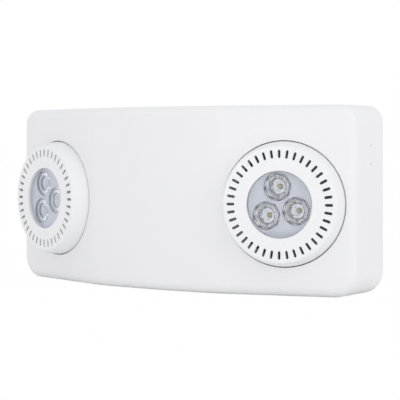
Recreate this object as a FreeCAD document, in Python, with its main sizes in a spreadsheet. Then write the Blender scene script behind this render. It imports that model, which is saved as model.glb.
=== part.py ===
import FreeCAD, Part
import math
import operator
import os
from types import SimpleNamespace

import Sketcher

# Two-head emergency light for a wall, in millimetres.
# X runs along the unit, the front is towards -Y, Z is up.
# The origin is the middle of the cable hole in the flat back that lies on the wall.

doc = FreeCAD.newDocument("emergency_light")

# Driving sizes: name, value, what it measures
DRIVING_SIZES = [
    ("housing_width", 304.8, "whole unit, end to end"),
    ("housing_height", 135.0, "whole unit, bottom to top"),
    ("end_depth", 42.5, "wall to front face at the two ends"),
    ("facet_angle", 17.0, "degrees that each lamp facet turns outwards"),
    ("facet_length", 96.4, "from an end of the unit to the bowed middle"),
    ("middle_rise", 3.4, "how far the bowed middle stands proud of its chord"),
    ("crease_radius", 40.0, "rounding between the middle and a facet"),
    ("front_edge_radius", 7.5, "rounding all round the front"),
    ("corner_radius_top", 12.4, "upper corners seen from the front"),
    ("corner_radius_bottom", 17.0, "lower corners seen from the front"),
    ("cover_wall", 2.5, "moulded wall of the cover"),
    ("plate_edge", 4.0, "edge of the back plate that shows behind the cover"),
    ("plate_floor", 2.5, "floor of the back plate"),
    ("tongue_rise", 4.0, "locating tongue of the back plate above its edge"),
    ("tongue_wall", 1.6, "thickness of the locating tongue"),
    ("tongue_clearance", 0.3, "gap between tongue and cover"),
    ("head_inset", 48.4, "head centre from the end of the unit"),
    ("head_drop", 2.3, "head centre below the middle of the unit"),
    ("head_hole_radius", 44.5, "opening in the cover for a head"),
    ("ball_radius", 44.4, "spherical side wall of a head"),
    ("ball_centre_depth", 5.0, "centre of the ball behind the facet"),
    ("ball_wall", 2.0, "wall of the head moulding"),
    ("ball_back_depth", 11.5, "rear rim of the ball behind its centre"),
    ("face_height", 12.6, "flat face of a head in front of the facet"),
    ("face_wall", 2.0, "thickness of the flat face"),
    ("face_edge_radius", 1.2, "rounding of the edge of the flat face"),
    ("window_radius", 23.6, "opening in the face in front of the lamp"),
    ("vent_count", 40.0, "cooling slots in a face"),
    ("vent_ring_radius", 35.3, "slot centres from the head axis"),
    ("vent_length", 5.9, "length of a slot"),
    ("vent_width", 2.0, "width of a slot"),
    ("pip_ring_radius", 28.2, "small dimples in a face from the head axis"),
    ("pip_radius", 0.6, "small dimples in a face"),
    ("pip_depth", 0.6, "small dimples in a face"),
    ("pip_turn", 9.2, "degrees from level to the first dimple"),
    ("pip_count", 4.0, "small dimples in a face"),
    ("sleeve_wall", 1.6, "wall of the lamp sleeve inside a head"),
    ("sleeve_length", 10.0, "lamp sleeve behind the face"),
    ("lamp_rim_radius", 25.2, "rim of the lamp"),
    ("lamp_clearance", 0.4, "rim to sleeve"),
    ("lamp_seat_gap", 0.05, "rim to the back of the face"),
    ("lamp_rim_height", 5.1, "rim of the lamp along its axis"),
    ("clip_thickness", 1.2, "spring clip that holds the lamp"),
    ("clip_groove_depth", 0.8, "groove for the clip in the sleeve"),
    ("clip_gap", 14.0, "opening of the spring clip"),
    ("fit_clearance", 0.1, "small play of parts that seat in each other"),
    ("ring_play", 0.4, "play between ball and swivel ring"),
    ("ring_outer_radius", 46.8, "outside of the swivel ring"),
    ("ring_front_gap", 0.4, "swivel ring to the back of the cover"),
    ("ring_length", 14.2, "swivel ring along its axis"),
    ("guide_play", 0.3, "swivel ring to its guide collar"),
    ("guide_wall", 1.6, "guide collar of the cover"),
    ("guide_depth", 6.5, "guide collar behind the back of the wall"),
    ("flange_radius", 50.0, "flange of the swivel ring"),
    ("flange_thickness", 2.0, "flange of the swivel ring"),
    ("flange_play", 0.2, "flange to collar and to washer"),
    ("washer_thickness", 0.8, "friction washer under the retainer"),
    ("retainer_thickness", 2.0, "ring that holds the swivel ring"),
    ("retainer_band", 3.9, "width of the retainer ring"),
    ("ear_radius", 4.4, "screw ear of the retainer ring"),
    ("ear_ring_radius", 55.0, "screws of the retainer from the head axis"),
    ("ear_angle", 45.0, "degrees from level to the first ear"),
    ("ear_count", 4.0, "screws of one retainer ring"),
    ("boss_radius", 3.2, "screw bosses of cover and back plate"),
    ("screw_radius", 1.4, "shank of the small screws"),
    ("screw_play", 0.05, "shank to its hole"),
    ("screw_depth", 7.0, "screw in its boss"),
    ("screw_tip_room", 1.0, "hole beyond the tip of a screw"),
    ("screw_head_radius", 2.7, "heads of the small screws"),
    ("screw_head_height", 1.7, "heads of the small screws"),
    ("pivot_radius", 1.5, "pivot pins of a head"),
    ("pivot_play", 0.05, "pin to its bore in the head"),
    ("pivot_boss_radius", 4.0, "bosses in the head round the pins"),
    ("pivot_boss_depth", 4.2, "bosses in the head along the pins"),
    ("lens_seat_depth", 1.2, "lens plate sunk in the lamp rim"),
    ("lens_plate_radius", 24.3, "clear plate with the three lenses"),
    ("lens_plate_rim", 1.1, "raised rim of the lens plate"),
    ("lens_plate_dish", 0.6, "lens plate behind its rim"),
    ("lens_ring_radius", 12.5, "lens axes from the lamp axis"),
    ("lens_radius", 10.0, "front of one lens"),
    ("lens_back_radius", 5.6, "back of one lens"),
    ("lens_proud", 0.4, "lens in front of its plate"),
    ("lens_board_gap", 0.6, "back of the lens in front of the board"),
    ("lens_well_radius", 3.6, "hollow of the lens over its emitter"),
    ("lens_well_depth", 4.6, "hollow of the lens over its emitter"),
    ("lens_dome", 0.8, "bulge of the lens into its hollow"),
    ("lens_count", 3.0, "lenses and emitters of a lamp"),
    ("cup_radius", 22.6, "inside of the lamp cup"),
    ("cup_depth", 11.75, "floor of the lamp cup behind its rim"),
    ("lamp_board_radius", 22.3, "aluminium board of the lamp"),
    ("lamp_board_thickness", 1.6, "aluminium board of the lamp"),
    ("emitter_size", 3.5, "side of one emitter"),
    ("emitter_height", 0.9, "base of one emitter"),
    ("emitter_dome_radius", 1.4, "dome of one emitter"),
    ("lamp_body_radius", 24.0, "lamp body behind the rim"),
    ("lamp_barrel", 8.0, "straight part of the lamp body"),
    ("lamp_taper", 18.0, "tapered part of the lamp body"),
    ("lamp_taper_radius", 15.0, "small end of the taper"),
    ("lamp_neck_radius", 9.5, "cap of the lamp"),
    ("lamp_neck_slope", 4.0, "taper to cap"),
    ("lamp_cap_length", 6.0, "cap of the lamp"),
    ("fin_count", 16.0, "cooling grooves of the lamp body"),
    ("fin_groove_width", 2.4, "cooling grooves of the lamp body"),
    ("fin_groove_depth", 3.6, "cooling grooves of the lamp body"),
    ("lamp_turn_right", 98.8, "degrees from level to the first lens, right"),
    ("lamp_turn_left", 113.3, "degrees from level to the first lens, left"),
    ("contact_radius", 0.75, "contact pins of the lamp"),
    ("contact_half_spacing", 2.65, "contact pins from the lamp axis"),
    ("contact_root", 3.0, "contact pins inside the cap"),
    ("contact_length", 7.0, "contact pins behind the cap"),
    ("holder_width", 17.0, "lamp holder"),
    ("holder_height", 10.0, "lamp holder"),
    ("holder_length", 12.0, "lamp holder along the lamp axis"),
    ("wire_entry_radius", 11.1, "cable hole in the back plate"),
    ("box_hole_radius", 2.4, "screw holes for a wall box"),
    ("box_hole_spacing", 88.9, "screw holes for a wall box"),
    ("keyhole_x", 90.0, "keyholes from the middle"),
    ("keyhole_z", 40.0, "keyholes above the middle"),
    ("keyhole_head_radius", 4.6, "wide end of a keyhole"),
    ("keyhole_slot_radius", 2.3, "narrow end of a keyhole"),
    ("keyhole_rise", 8.0, "travel in a keyhole"),
    ("hook_x", 62.0, "snap hooks from the middle"),
    ("hook_width", 10.0, "snap hooks"),
    ("hook_thickness", 1.8, "snap hooks"),
    ("hook_nose", 1.1, "catch of a snap hook"),
    ("hook_nose_length", 2.0, "catch of a snap hook"),
    ("ledge_depth", 9.4, "catch ledges in the cover, from the wall"),
    ("ledge_rise", 1.2, "catch ledges in the cover"),
    ("ledge_thickness", 1.8, "catch ledges in the cover"),
    ("cell_radius", 11.0, "battery cell"),
    ("cell_length", 42.0, "battery cell with its wrapping"),
    ("cell_count", 5.0, "cells side by side"),
    ("battery_margin", 4.7, "contact caps of the battery to the top of the cover"),
    ("cell_end_radius", 4.0, "contact caps of the cells"),
    ("cell_end_height", 0.8, "contact caps of the cells"),
    ("strap_thickness", 1.5, "battery strap"),
    ("strap_width", 16.0, "battery strap"),
    ("strap_foot", 9.4, "feet of the battery strap"),
    ("strap_boss_height", 5.5, "bosses under the feet of the strap"),
    ("cradle_rib_length", 7.0, "ribs that hold the battery"),
    ("cradle_rib_height", 12.0, "ribs that hold the battery"),
    ("board_half_width", 50.0, "circuit board"),
    ("board_height", 49.5, "circuit board"),
    ("board_margin", 4.5, "circuit board to the bottom of the cover"),
    ("board_thickness", 1.6, "circuit board"),
    ("board_standoff", 7.0, "bosses under the circuit board"),
    ("board_hole_inset", 4.0, "board screws from the board edges"),
    ("core_width", 30.0, "transformer core"),
    ("core_height", 25.0, "transformer core"),
    ("core_depth", 16.0, "transformer core"),
    ("coil_width", 19.0, "transformer winding"),
    ("coil_depth", 23.0, "transformer winding"),
    ("transformer_x", -28.0, "transformer from the middle of the unit"),
    ("transformer_rise", 25.0, "transformer above the lower edge of the board"),
    ("pin_height", 3.0, "transformer above the board"),
    ("relay_width", 19.0, "changeover relay"),
    ("relay_height", 15.5, "changeover relay"),
    ("relay_depth", 15.5, "changeover relay"),
    ("relay_x", 10.0, "changeover relay from the middle of the unit"),
    ("relay_rise", 23.0, "changeover relay above the lower edge of the board"),
    ("capacitor_radius", 5.0, "capacitors"),
    ("capacitor_length", 12.5, "capacitors"),
    ("capacitor_x", 30.0, "first capacitor from the middle of the unit"),
    ("capacitor_rise", 23.0, "capacitors above the lower edge of the board"),
    ("capacitor_pitch", 13.0, "between the capacitors"),
    ("terminal_width", 40.0, "terminal block"),
    ("terminal_height", 10.0, "terminal block"),
    ("terminal_depth", 10.5, "terminal block"),
    ("terminal_x", 18.0, "terminal block from the middle of the unit"),
    ("terminal_rise", 42.0, "terminal block above the lower edge of the board"),
    ("terminal_count", 5.0, "wire entries of the terminal block"),
    ("terminal_hole_radius", 1.5, "wire entries of the terminal block"),
    ("button_x", 24.0, "test button from the middle"),
    ("button_depth", 15.2, "test button from the wall"),
    ("button_radius", 4.0, "test button"),
    ("button_play", 0.3, "test button to its hole"),
    ("button_recess", 0.6, "test button inside the underside"),
    ("button_flange_radius", 5.6, "flange that keeps the button in"),
    ("button_flange_height", 1.2, "flange that keeps the button in"),
    ("button_travel", 1.2, "how far the button is pressed"),
    ("plunger_radius", 1.6, "plunger of the test switch"),
    ("plunger_play", 0.1, "plunger to its bore"),
    ("plunger_length", 4.8, "plunger of the test switch"),
    ("plunger_reach", 2.0, "plunger below the switch"),
    ("switch_width", 7.0, "test switch"),
    ("switch_height", 7.0, "test switch"),
    ("indicator_x", 38.0, "charge indicator from the middle"),
    ("indicator_radius", 1.5, "charge indicator lens"),
    ("indicator_base", 5.0, "base of the charge indicator"),
    ("side_hole_radius", 0.65, "pin holes in the right end"),
    ("side_hole_depth", 18.5, "pin holes from the wall"),
    ("side_hole_z", 38.8, "upper pin hole above the middle"),
    ("side_hole_pitch", 13.0, "between the pin holes"),
]

sheet = doc.addObject("Spreadsheet::Sheet", "Sizes")
for row, (name, value, note) in enumerate(DRIVING_SIZES, start=1):
    sheet.set("A%d" % row, note)
    sheet.set("B%d" % row, str(value))
    sheet.setAlias("B%d" % row, name)
doc.recompute()


# A Term is a number that remembers the sheet expression it came from
class Term:
    def __init__(self, value, text):
        self.value = value
        self.text = text

    def __add__(self, other):
        return combine(self, "+", other)

    def __radd__(self, other):
        return combine(other, "+", self)

    def __sub__(self, other):
        return combine(self, "-", other)

    def __rsub__(self, other):
        return combine(other, "-", self)

    def __mul__(self, other):
        return combine(self, "*", other)

    def __rmul__(self, other):
        return combine(other, "*", self)

    def __truediv__(self, other):
        return combine(self, "/", other)

    def __neg__(self):
        return combine(-1, "*", self)


OPERATIONS = {"+": operator.add, "-": operator.sub, "*": operator.mul, "/": operator.truediv}


def term(number):
    if isinstance(number, Term):
        return number
    return Term(float(number), "%g" % number)


def combine(left, sign, right):
    left, right = term(left), term(right)
    value = OPERATIONS[sign](left.value, right.value)
    return Term(value, "(%s %s %s)" % (left.text, sign, right.text))


def root(inside):
    return Term(math.sqrt(inside.value), "sqrt%s" % inside.text)


def sine(degrees):
    return Term(math.sin(math.radians(degrees.value)), "sin(%s)" % degrees.text)


def cosine(degrees):
    return Term(math.cos(math.radians(degrees.value)), "cos(%s)" % degrees.text)


size = SimpleNamespace()
for name, value, note in DRIVING_SIZES:
    setattr(size, name, Term(float(sheet.get(name)), "Sizes.%s" % name))

ZERO = term(0)


def leg(radius, height):
    # the other leg of a right triangle: radius of a ball at some height above its centre
    return root(radius * radius - height * height)


# Places that several pieces share
half_width = size.housing_width / 2
half_height = size.housing_height / 2
middle_half_width = half_width - size.facet_length
facet_slope = sine(size.facet_angle) / cosine(size.facet_angle)
crease_depth = size.end_depth + size.facet_length * facet_slope
head_x = half_width - size.head_inset
head_depth = size.end_depth + size.head_inset * facet_slope
head_z = -size.head_drop
inner_half_height = half_height - size.cover_wall

# Stations along a head axis, measured outwards from the facet
wall_back = -size.cover_wall
ring_front = wall_back - size.ring_front_gap
guide_back = wall_back - size.guide_depth
flange_front = guide_back - size.flange_play
flange_back = flange_front - size.flange_thickness
washer_front = flange_back - size.flange_play
retainer_front = washer_front - size.washer_thickness
retainer_back = retainer_front - size.retainer_thickness
ring_back = ring_front - size.ring_length
ball_middle = -size.ball_centre_depth
guide_radius = size.ring_outer_radius + size.guide_play
face_back = size.face_height - size.face_wall
lamp_front = face_back - size.lamp_seat_gap
rim_back = lamp_front - size.lamp_rim_height
sleeve_radius = size.lamp_rim_radius + size.lamp_clearance
lens_seat = lamp_front - size.lens_seat_depth
board_front = lamp_front - size.cup_depth + size.lamp_board_thickness
barrel_back = rim_back - size.lamp_barrel
taper_back = barrel_back - size.lamp_taper
neck_front = taper_back - size.lamp_neck_slope
cap_back = neck_front - size.lamp_cap_length
holder_front = cap_back - size.fit_clearance

# Stations of the electrical parts, measured from the wall
standoff_top = size.plate_floor + size.board_standoff
board_face = standoff_top + size.board_thickness
battery_back = size.plate_floor + size.fit_clearance
battery_half_width = size.cell_radius * size.cell_count
battery_top = inner_half_height - size.battery_margin - size.cell_end_height
battery_bottom = battery_top - size.cell_length
battery_middle = battery_bottom + size.cell_length / 2
board_bottom = size.board_margin - inner_half_height
board_top = board_bottom + size.board_height
strap_inner = battery_half_width + size.tongue_clearance
strap_screw_x = strap_inner + size.strap_foot / 2 + size.strap_thickness / 2
strap_seat = size.plate_floor + size.strap_boss_height
strap_top = battery_back + size.cell_radius * 2 + size.fit_clearance

VECTOR = FreeCAD.Vector
UP = VECTOR(0, 0, 1)


# Sketch helpers: every dimension is bound to the sheet
# Sketcher counts a curve's start as point 1, its end as 2 and its centre as 3
# Its own X axis is curve -1, and its Y axis is curve -2
def fix_distance(sketch, kind, geometry, point, distance):
    distance = term(distance)
    if abs(distance.value) < 1e-9:
        line = -2 if kind == "DistanceX" else -1
        sketch.addConstraint(Sketcher.Constraint("PointOnObject", geometry, point, line))
        return
    index = sketch.addConstraint(
        Sketcher.Constraint(kind, -1, 1, geometry, point, distance.value))
    sketch.setExpression("Constraints[%d]" % index, distance.text)


def fix_point(sketch, geometry, point, x, y):
    fix_distance(sketch, "DistanceX", geometry, point, x)
    fix_distance(sketch, "DistanceY", geometry, point, y)


def fix_radius(sketch, geometry, radius):
    index = sketch.addConstraint(Sketcher.Constraint("Radius", geometry, radius.value))
    sketch.setExpression("Constraints[%d]" % index, radius.text)


def arc_between(start, end, radius, turn):
    # an arc from start to end; turn is 1 when it runs anticlockwise and -1 when clockwise
    chord = end - start
    rise = math.sqrt(max(radius * radius - chord.Length ** 2 / 4, 0))
    side = VECTOR(-chord.y, chord.x, 0).normalize() * turn
    centre = (start + end) / 2 + side * rise
    first = math.atan2(start.y - centre.y, start.x - centre.x)
    last = math.atan2(end.y - centre.y, end.x - centre.x)
    if turn < 0:
        first, last = last, first
    circle = Part.Circle(centre, UP, radius)
    return Part.ArcOfCircle(circle, first, last if last > first else last + 2 * math.pi)


def outline(sketch, points, arcs=None):
    # a closed outline; arcs gives the radius and turn of the stretch that starts at a point
    arcs = arcs or {}
    corners = [VECTOR(term(x).value, term(y).value, 0) for x, y in points]
    count = len(points)
    ends = []
    for index in range(count):
        start, end = corners[index], corners[(index + 1) % count]
        if index in arcs:
            radius, turn = arcs[index]
            sketch.addGeometry(arc_between(start, end, radius.value, turn), False)
            ends.append((1, 2) if turn > 0 else (2, 1))
        else:
            sketch.addGeometry(Part.LineSegment(start, end), False)
            ends.append((1, 2))
    for index in range(count):
        following = (index + 1) % count
        sketch.addConstraint(Sketcher.Constraint(
            "Coincident", index, ends[index][1], following, ends[following][0]))
    for index, (x, y) in enumerate(points):
        fix_point(sketch, index, ends[index][0], x, y)
    for index, (radius, turn) in arcs.items():
        fix_radius(sketch, index, radius)


def circle(sketch, x, y, radius):
    x, y = term(x), term(y)
    index = sketch.addGeometry(
        Part.Circle(VECTOR(x.value, y.value, 0), UP, radius.value), False)
    fix_point(sketch, index, 3, x, y)
    fix_radius(sketch, index, radius)


def rectangle(sketch, left, bottom, right, top):
    outline(sketch, [(left, bottom), (right, bottom), (right, top), (left, top)])


def slot(sketch, first, second, radius):
    # a slot with round ends about two centres, the second one further along +X or +Y
    a = VECTOR(term(first[0]).value, term(first[1]).value, 0)
    b = VECTOR(term(second[0]).value, term(second[1]).value, 0)
    heading = math.atan2(b.y - a.y, b.x - a.x)
    side = VECTOR(-math.sin(heading), math.cos(heading), 0) * radius.value
    quarter = math.pi / 2
    start = Part.ArcOfCircle(
        Part.Circle(a, UP, radius.value), heading + quarter, heading + 3 * quarter)
    end = Part.ArcOfCircle(
        Part.Circle(b, UP, radius.value), heading - quarter, heading + quarter)
    sketch.addGeometry(start, False)
    sketch.addGeometry(Part.LineSegment(a - side, b - side), False)
    sketch.addGeometry(end, False)
    sketch.addGeometry(Part.LineSegment(b + side, a + side), False)
    for index in range(4):
        sketch.addConstraint(
            Sketcher.Constraint("Tangent", index, 2, (index + 1) % 4, 1))
    sketch.addConstraint(Sketcher.Constraint("Equal", 0, 2))
    fix_point(sketch, 0, 3, *first)
    fix_point(sketch, 2, 3, *second)
    fix_radius(sketch, 0, radius)


def rounded_outline(sketch, right, top, top_radius, bottom_radius):
    # the outline of the unit seen from the front, the same to left and right, top and bottom
    w, h = right.value, top.value
    rt, rb = top_radius.value, bottom_radius.value
    half = math.pi / 2
    sketch.addGeometry(Part.LineSegment(VECTOR(-w + rb, -h, 0), VECTOR(w - rb, -h, 0)), False)
    sketch.addGeometry(
        Part.ArcOfCircle(Part.Circle(VECTOR(w - rb, -h + rb, 0), UP, rb), -half, 0), False)
    sketch.addGeometry(Part.LineSegment(VECTOR(w, -h + rb, 0), VECTOR(w, h - rt, 0)), False)
    sketch.addGeometry(
        Part.ArcOfCircle(Part.Circle(VECTOR(w - rt, h - rt, 0), UP, rt), 0, half), False)
    sketch.addGeometry(Part.LineSegment(VECTOR(w - rt, h, 0), VECTOR(-w + rt, h, 0)), False)
    sketch.addGeometry(
        Part.ArcOfCircle(Part.Circle(VECTOR(-w + rt, h - rt, 0), UP, rt), half, 2 * half),
        False)
    sketch.addGeometry(Part.LineSegment(VECTOR(-w, h - rt, 0), VECTOR(-w, -h + rb, 0)), False)
    sketch.addGeometry(
        Part.ArcOfCircle(Part.Circle(VECTOR(-w + rb, -h + rb, 0), UP, rb), 2 * half, 3 * half),
        False)
    for index in range(8):
        sketch.addConstraint(
            Sketcher.Constraint("Tangent", index, 2, (index + 1) % 8, 1))
    for index in (0, 4):
        sketch.addConstraint(Sketcher.Constraint("Horizontal", index))
    for index in (2, 6):
        sketch.addConstraint(Sketcher.Constraint("Vertical", index))
    sketch.addConstraint(Sketcher.Constraint("Equal", 3, 5))
    sketch.addConstraint(Sketcher.Constraint("Equal", 1, 7))
    fix_radius(sketch, 3, top_radius)
    fix_radius(sketch, 1, bottom_radius)
    fix_distance(sketch, "DistanceY", 0, 1, -top)
    fix_distance(sketch, "DistanceY", 4, 1, top)
    fix_distance(sketch, "DistanceX", 2, 1, right)
    fix_distance(sketch, "DistanceX", 6, 1, -right)


# Body helpers
def new_body(label):
    body = doc.addObject("PartDesign::Body", label)
    body.Label = label
    return body


def origin_feature(body, role):
    return [item for item in body.Origin.OriginFeatures if item.Role == role][0]


def bind_offset(sketch, x=ZERO, y=ZERO, z=ZERO):
    for axis, distance in zip("xyz", (x, y, z)):
        sketch.setExpression("AttachmentOffset.Base.%s" % axis, distance.text)


def new_sketch(body, name, role, level=ZERO):
    # a sketch on an origin plane of the body, moved along the plane's normal
    sketch = body.newObject("Sketcher::SketchObject", name)
    sketch.AttachmentSupport = [(origin_feature(body, role), "")]
    sketch.MapMode = "FlatFace"
    bind_offset(sketch, z=level)
    return sketch


def facet_sketch(body, name, side, station):
    # a sketch square to a head axis of the cover; its normal points outwards
    sketch = body.newObject("Sketcher::SketchObject", name)
    sketch.AttachmentSupport = [(origin_feature(body, "XZ_Plane"), "")]
    sketch.MapMode = "FlatFace"
    turn = FreeCAD.Rotation(VECTOR(0, side, 0), size.facet_angle.value)
    sketch.AttachmentOffset = FreeCAD.Placement(VECTOR(0, 0, 0), turn)
    bind_offset(
        sketch,
        side * (head_x + station * sine(size.facet_angle)),
        head_z,
        head_depth + station * cosine(size.facet_angle))
    sketch.setExpression("AttachmentOffset.Rotation.Angle", size.facet_angle.text)
    return sketch


def pad(body, sketch, name, length, reverse=False, both_ways=False):
    feature = body.newObject("PartDesign::Pad", name)
    feature.Profile = sketch
    feature.setExpression("Length", length.text)
    feature.Reversed = reverse
    feature.Midplane = both_ways
    sketch.Visibility = False
    return feature


def pocket(body, sketch, name, length, reverse=False, both_ways=False):
    doc.recompute()
    before = body.Shape.Volume
    feature = body.newObject("PartDesign::Pocket", name)
    feature.Profile = sketch
    feature.setExpression("Length", length.text)
    feature.Reversed = reverse
    feature.Midplane = both_ways
    doc.recompute()
    if not body.Shape.Volume < before - 1e-6:
        raise RuntimeError("%s cuts nothing in %s" % (name, body.Label))
    return feature


def revolve(body, sketch, name):
    feature = body.newObject("PartDesign::Revolution", name)
    feature.Profile = sketch
    feature.ReferenceAxis = (sketch, ["V_Axis"])
    feature.Angle = 360
    return feature


def repeat_round(body, features, name, count, axis):
    pattern = body.newObject("PartDesign::PolarPattern", name)
    pattern.Originals = features
    pattern.Axis = axis
    pattern.Angle = 360
    pattern.setExpression("Occurrences", count.text)
    body.Tip = pattern
    return pattern


def repeat_along(body, features, name, count, axis, length):
    pattern = body.newObject("PartDesign::LinearPattern", name)
    pattern.Originals = features
    pattern.Direction = axis
    pattern.setExpression("Length", length.text)
    pattern.setExpression("Occurrences", count.text)
    body.Tip = pattern
    return pattern


def edges_where(shape, test):
    names = []
    for number, edge in enumerate(shape.Edges, start=1):
        middle = edge.valueAt((edge.FirstParameter + edge.LastParameter) / 2)
        if test(edge, middle):
            names.append("Edge%d" % number)
    return names


def round_edges(body, feature, name, edges, radius):
    fillet = body.newObject("PartDesign::Fillet", name)
    fillet.Base = (feature, edges)
    fillet.setExpression("Radius", radius.text)
    doc.recompute()
    return fillet


def turned_body(label, stations, arcs=None):
    # a body turned about the head axis from (radius, station) corners
    body = new_body(label)
    sketch = new_sketch(body, "profile", "XY_Plane")
    outline(sketch, [(radius, -station) for radius, station in stations], arcs)
    revolve(body, sketch, "turned")
    doc.recompute()
    return body


def put_on_head(piece, side, turn=0.0):
    # local -Y becomes the head axis, and turn rotates the piece about that axis
    base = VECTOR(side * head_x.value, -head_depth.value, head_z.value)
    facing = FreeCAD.Rotation(UP, side * size.facet_angle.value)
    spin = FreeCAD.Rotation(VECTOR(0, -1, 0), turn)
    piece.Placement = FreeCAD.Placement(base, facing.multiply(spin))


# Housing
def make_back_plate():
    plate = new_body("back_plate")
    sketch = new_sketch(plate, "edge_outline", "XZ_Plane")
    rounded_outline(
        sketch, half_width, half_height, size.corner_radius_top, size.corner_radius_bottom)
    pad(plate, sketch, "edge", size.plate_edge)

    tongue_inset = size.cover_wall + size.tongue_clearance
    floor_inset = tongue_inset + size.tongue_wall
    sketch = new_sketch(plate, "tongue_outline", "XZ_Plane", size.plate_edge)
    rounded_outline(
        sketch, half_width - tongue_inset, half_height - tongue_inset,
        size.corner_radius_top - tongue_inset, size.corner_radius_bottom - tongue_inset)
    pad(plate, sketch, "tongue", size.tongue_rise)
    sketch = new_sketch(plate, "tray_outline", "XZ_Plane", size.plate_edge + size.tongue_rise)
    rounded_outline(
        sketch, half_width - floor_inset, half_height - floor_inset,
        size.corner_radius_top - floor_inset, size.corner_radius_bottom - floor_inset)
    tray_depth = size.plate_edge + size.tongue_rise - size.plate_floor
    pocket(plate, sketch, "tray", tray_depth)

    sketch = new_sketch(plate, "wire_and_box_holes", "XZ_Plane", size.plate_floor)
    circle(sketch, 0, 0, size.wire_entry_radius)
    for side in (-1, 1):
        circle(sketch, side * size.box_hole_spacing / 2, 0, size.box_hole_radius)
        circle(sketch, side * size.keyhole_x, size.keyhole_z, size.keyhole_head_radius)
    pocket(plate, sketch, "wall_holes", size.plate_floor)
    for side in (-1, 1):
        sketch = new_sketch(plate, "keyhole_slot", "XZ_Plane", size.plate_floor)
        slot(sketch, (side * size.keyhole_x, size.keyhole_z),
             (side * size.keyhole_x, size.keyhole_z + size.keyhole_rise),
             size.keyhole_slot_radius)
        pocket(plate, sketch, "keyhole_slot", size.plate_floor)

    make_plate_bosses(plate)
    make_battery_cradle(plate)
    for side in (-1, 1):
        for level in (-1, 1):
            make_hook(plate, side, level)
    return plate


def board_screw_places():
    x = size.board_half_width - size.board_hole_inset
    low = board_bottom + size.board_hole_inset
    high = board_top - size.board_hole_inset
    return [(side * x, z) for side in (-1, 1) for z in (low, high)]


def strap_screw_places():
    return [(side * strap_screw_x, battery_middle) for side in (-1, 1)]


def make_plate_bosses(plate):
    groups = [
        ("board", board_screw_places(), size.board_standoff, standoff_top),
        ("strap", strap_screw_places(), size.strap_boss_height, strap_seat),
    ]
    hole_radius = size.screw_radius + size.screw_play
    for name, places, height, top in groups:
        sketch = new_sketch(plate, name + "_boss_outline", "XZ_Plane", size.plate_floor)
        for x, z in places:
            circle(sketch, x, z, size.boss_radius)
        pad(plate, sketch, name + "_bosses", height)
        sketch = new_sketch(plate, name + "_pilot_outline", "XZ_Plane", top)
        for x, z in places:
            circle(sketch, x, z, hole_radius)
        pocket(plate, sketch, name + "_pilots", height)


def make_battery_cradle(plate):
    # short ribs below the battery and at its two ends
    rib = size.tongue_wall
    low = battery_bottom - size.tongue_clearance
    sketch = new_sketch(plate, "cradle_outline", "XZ_Plane", size.plate_floor)
    for side in (-1, 1):
        inner = side * (battery_half_width - size.cradle_rib_length * 2)
        outer = side * (battery_half_width - size.cradle_rib_length)
        edges = (inner, outer) if side > 0 else (outer, inner)
        rectangle_on(sketch, edges[0], low - rib, edges[1], low)
        near = side * strap_inner
        far = side * (strap_inner + rib)
        edges = (near, far) if side > 0 else (far, near)
        rectangle_on(sketch, edges[0], battery_bottom,
                     edges[1], battery_bottom + size.cradle_rib_length)
    pad(plate, sketch, "cradle", size.cradle_rib_height)


def rectangle_on(sketch, left, bottom, right, top):
    # one more rectangle in a sketch that already holds some
    first = len(sketch.Geometry)
    corners = [(left, bottom), (right, bottom), (right, top), (left, top)]
    points = [VECTOR(x.value, y.value, 0) for x, y in corners]
    for index in range(4):
        sketch.addGeometry(Part.LineSegment(points[index], points[(index + 1) % 4]), False)
    for index in range(4):
        sketch.addConstraint(Sketcher.Constraint(
            "Coincident", first + index, 2, first + (index + 1) % 4, 1))
    for index, (x, y) in enumerate(corners):
        fix_point(sketch, first + index, 1, x, y)


def make_hook(plate, side, level):
    # an arm along the cover wall whose nose catches behind a ledge of the cover
    ledge_face = inner_half_height - size.ledge_rise
    arm_out = ledge_face - size.tongue_clearance
    arm_in = arm_out - size.hook_thickness
    nose_out = arm_out + size.hook_nose
    nose_start = size.ledge_depth + size.ledge_thickness + size.tongue_clearance
    tip = nose_start + size.hook_nose_length
    sketch = new_sketch(plate, "hook_profile", "YZ_Plane", side * size.hook_x)
    corners = [
        (-size.plate_floor, level * arm_in),
        (-tip, level * arm_in),
        (-tip, level * arm_out),
        (-nose_start, level * nose_out),
        (-nose_start, level * arm_out),
        (-size.plate_floor, level * arm_out),
    ]
    outline(sketch, corners)
    pad(plate, sketch, "hook", size.hook_width, both_ways=True)


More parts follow.
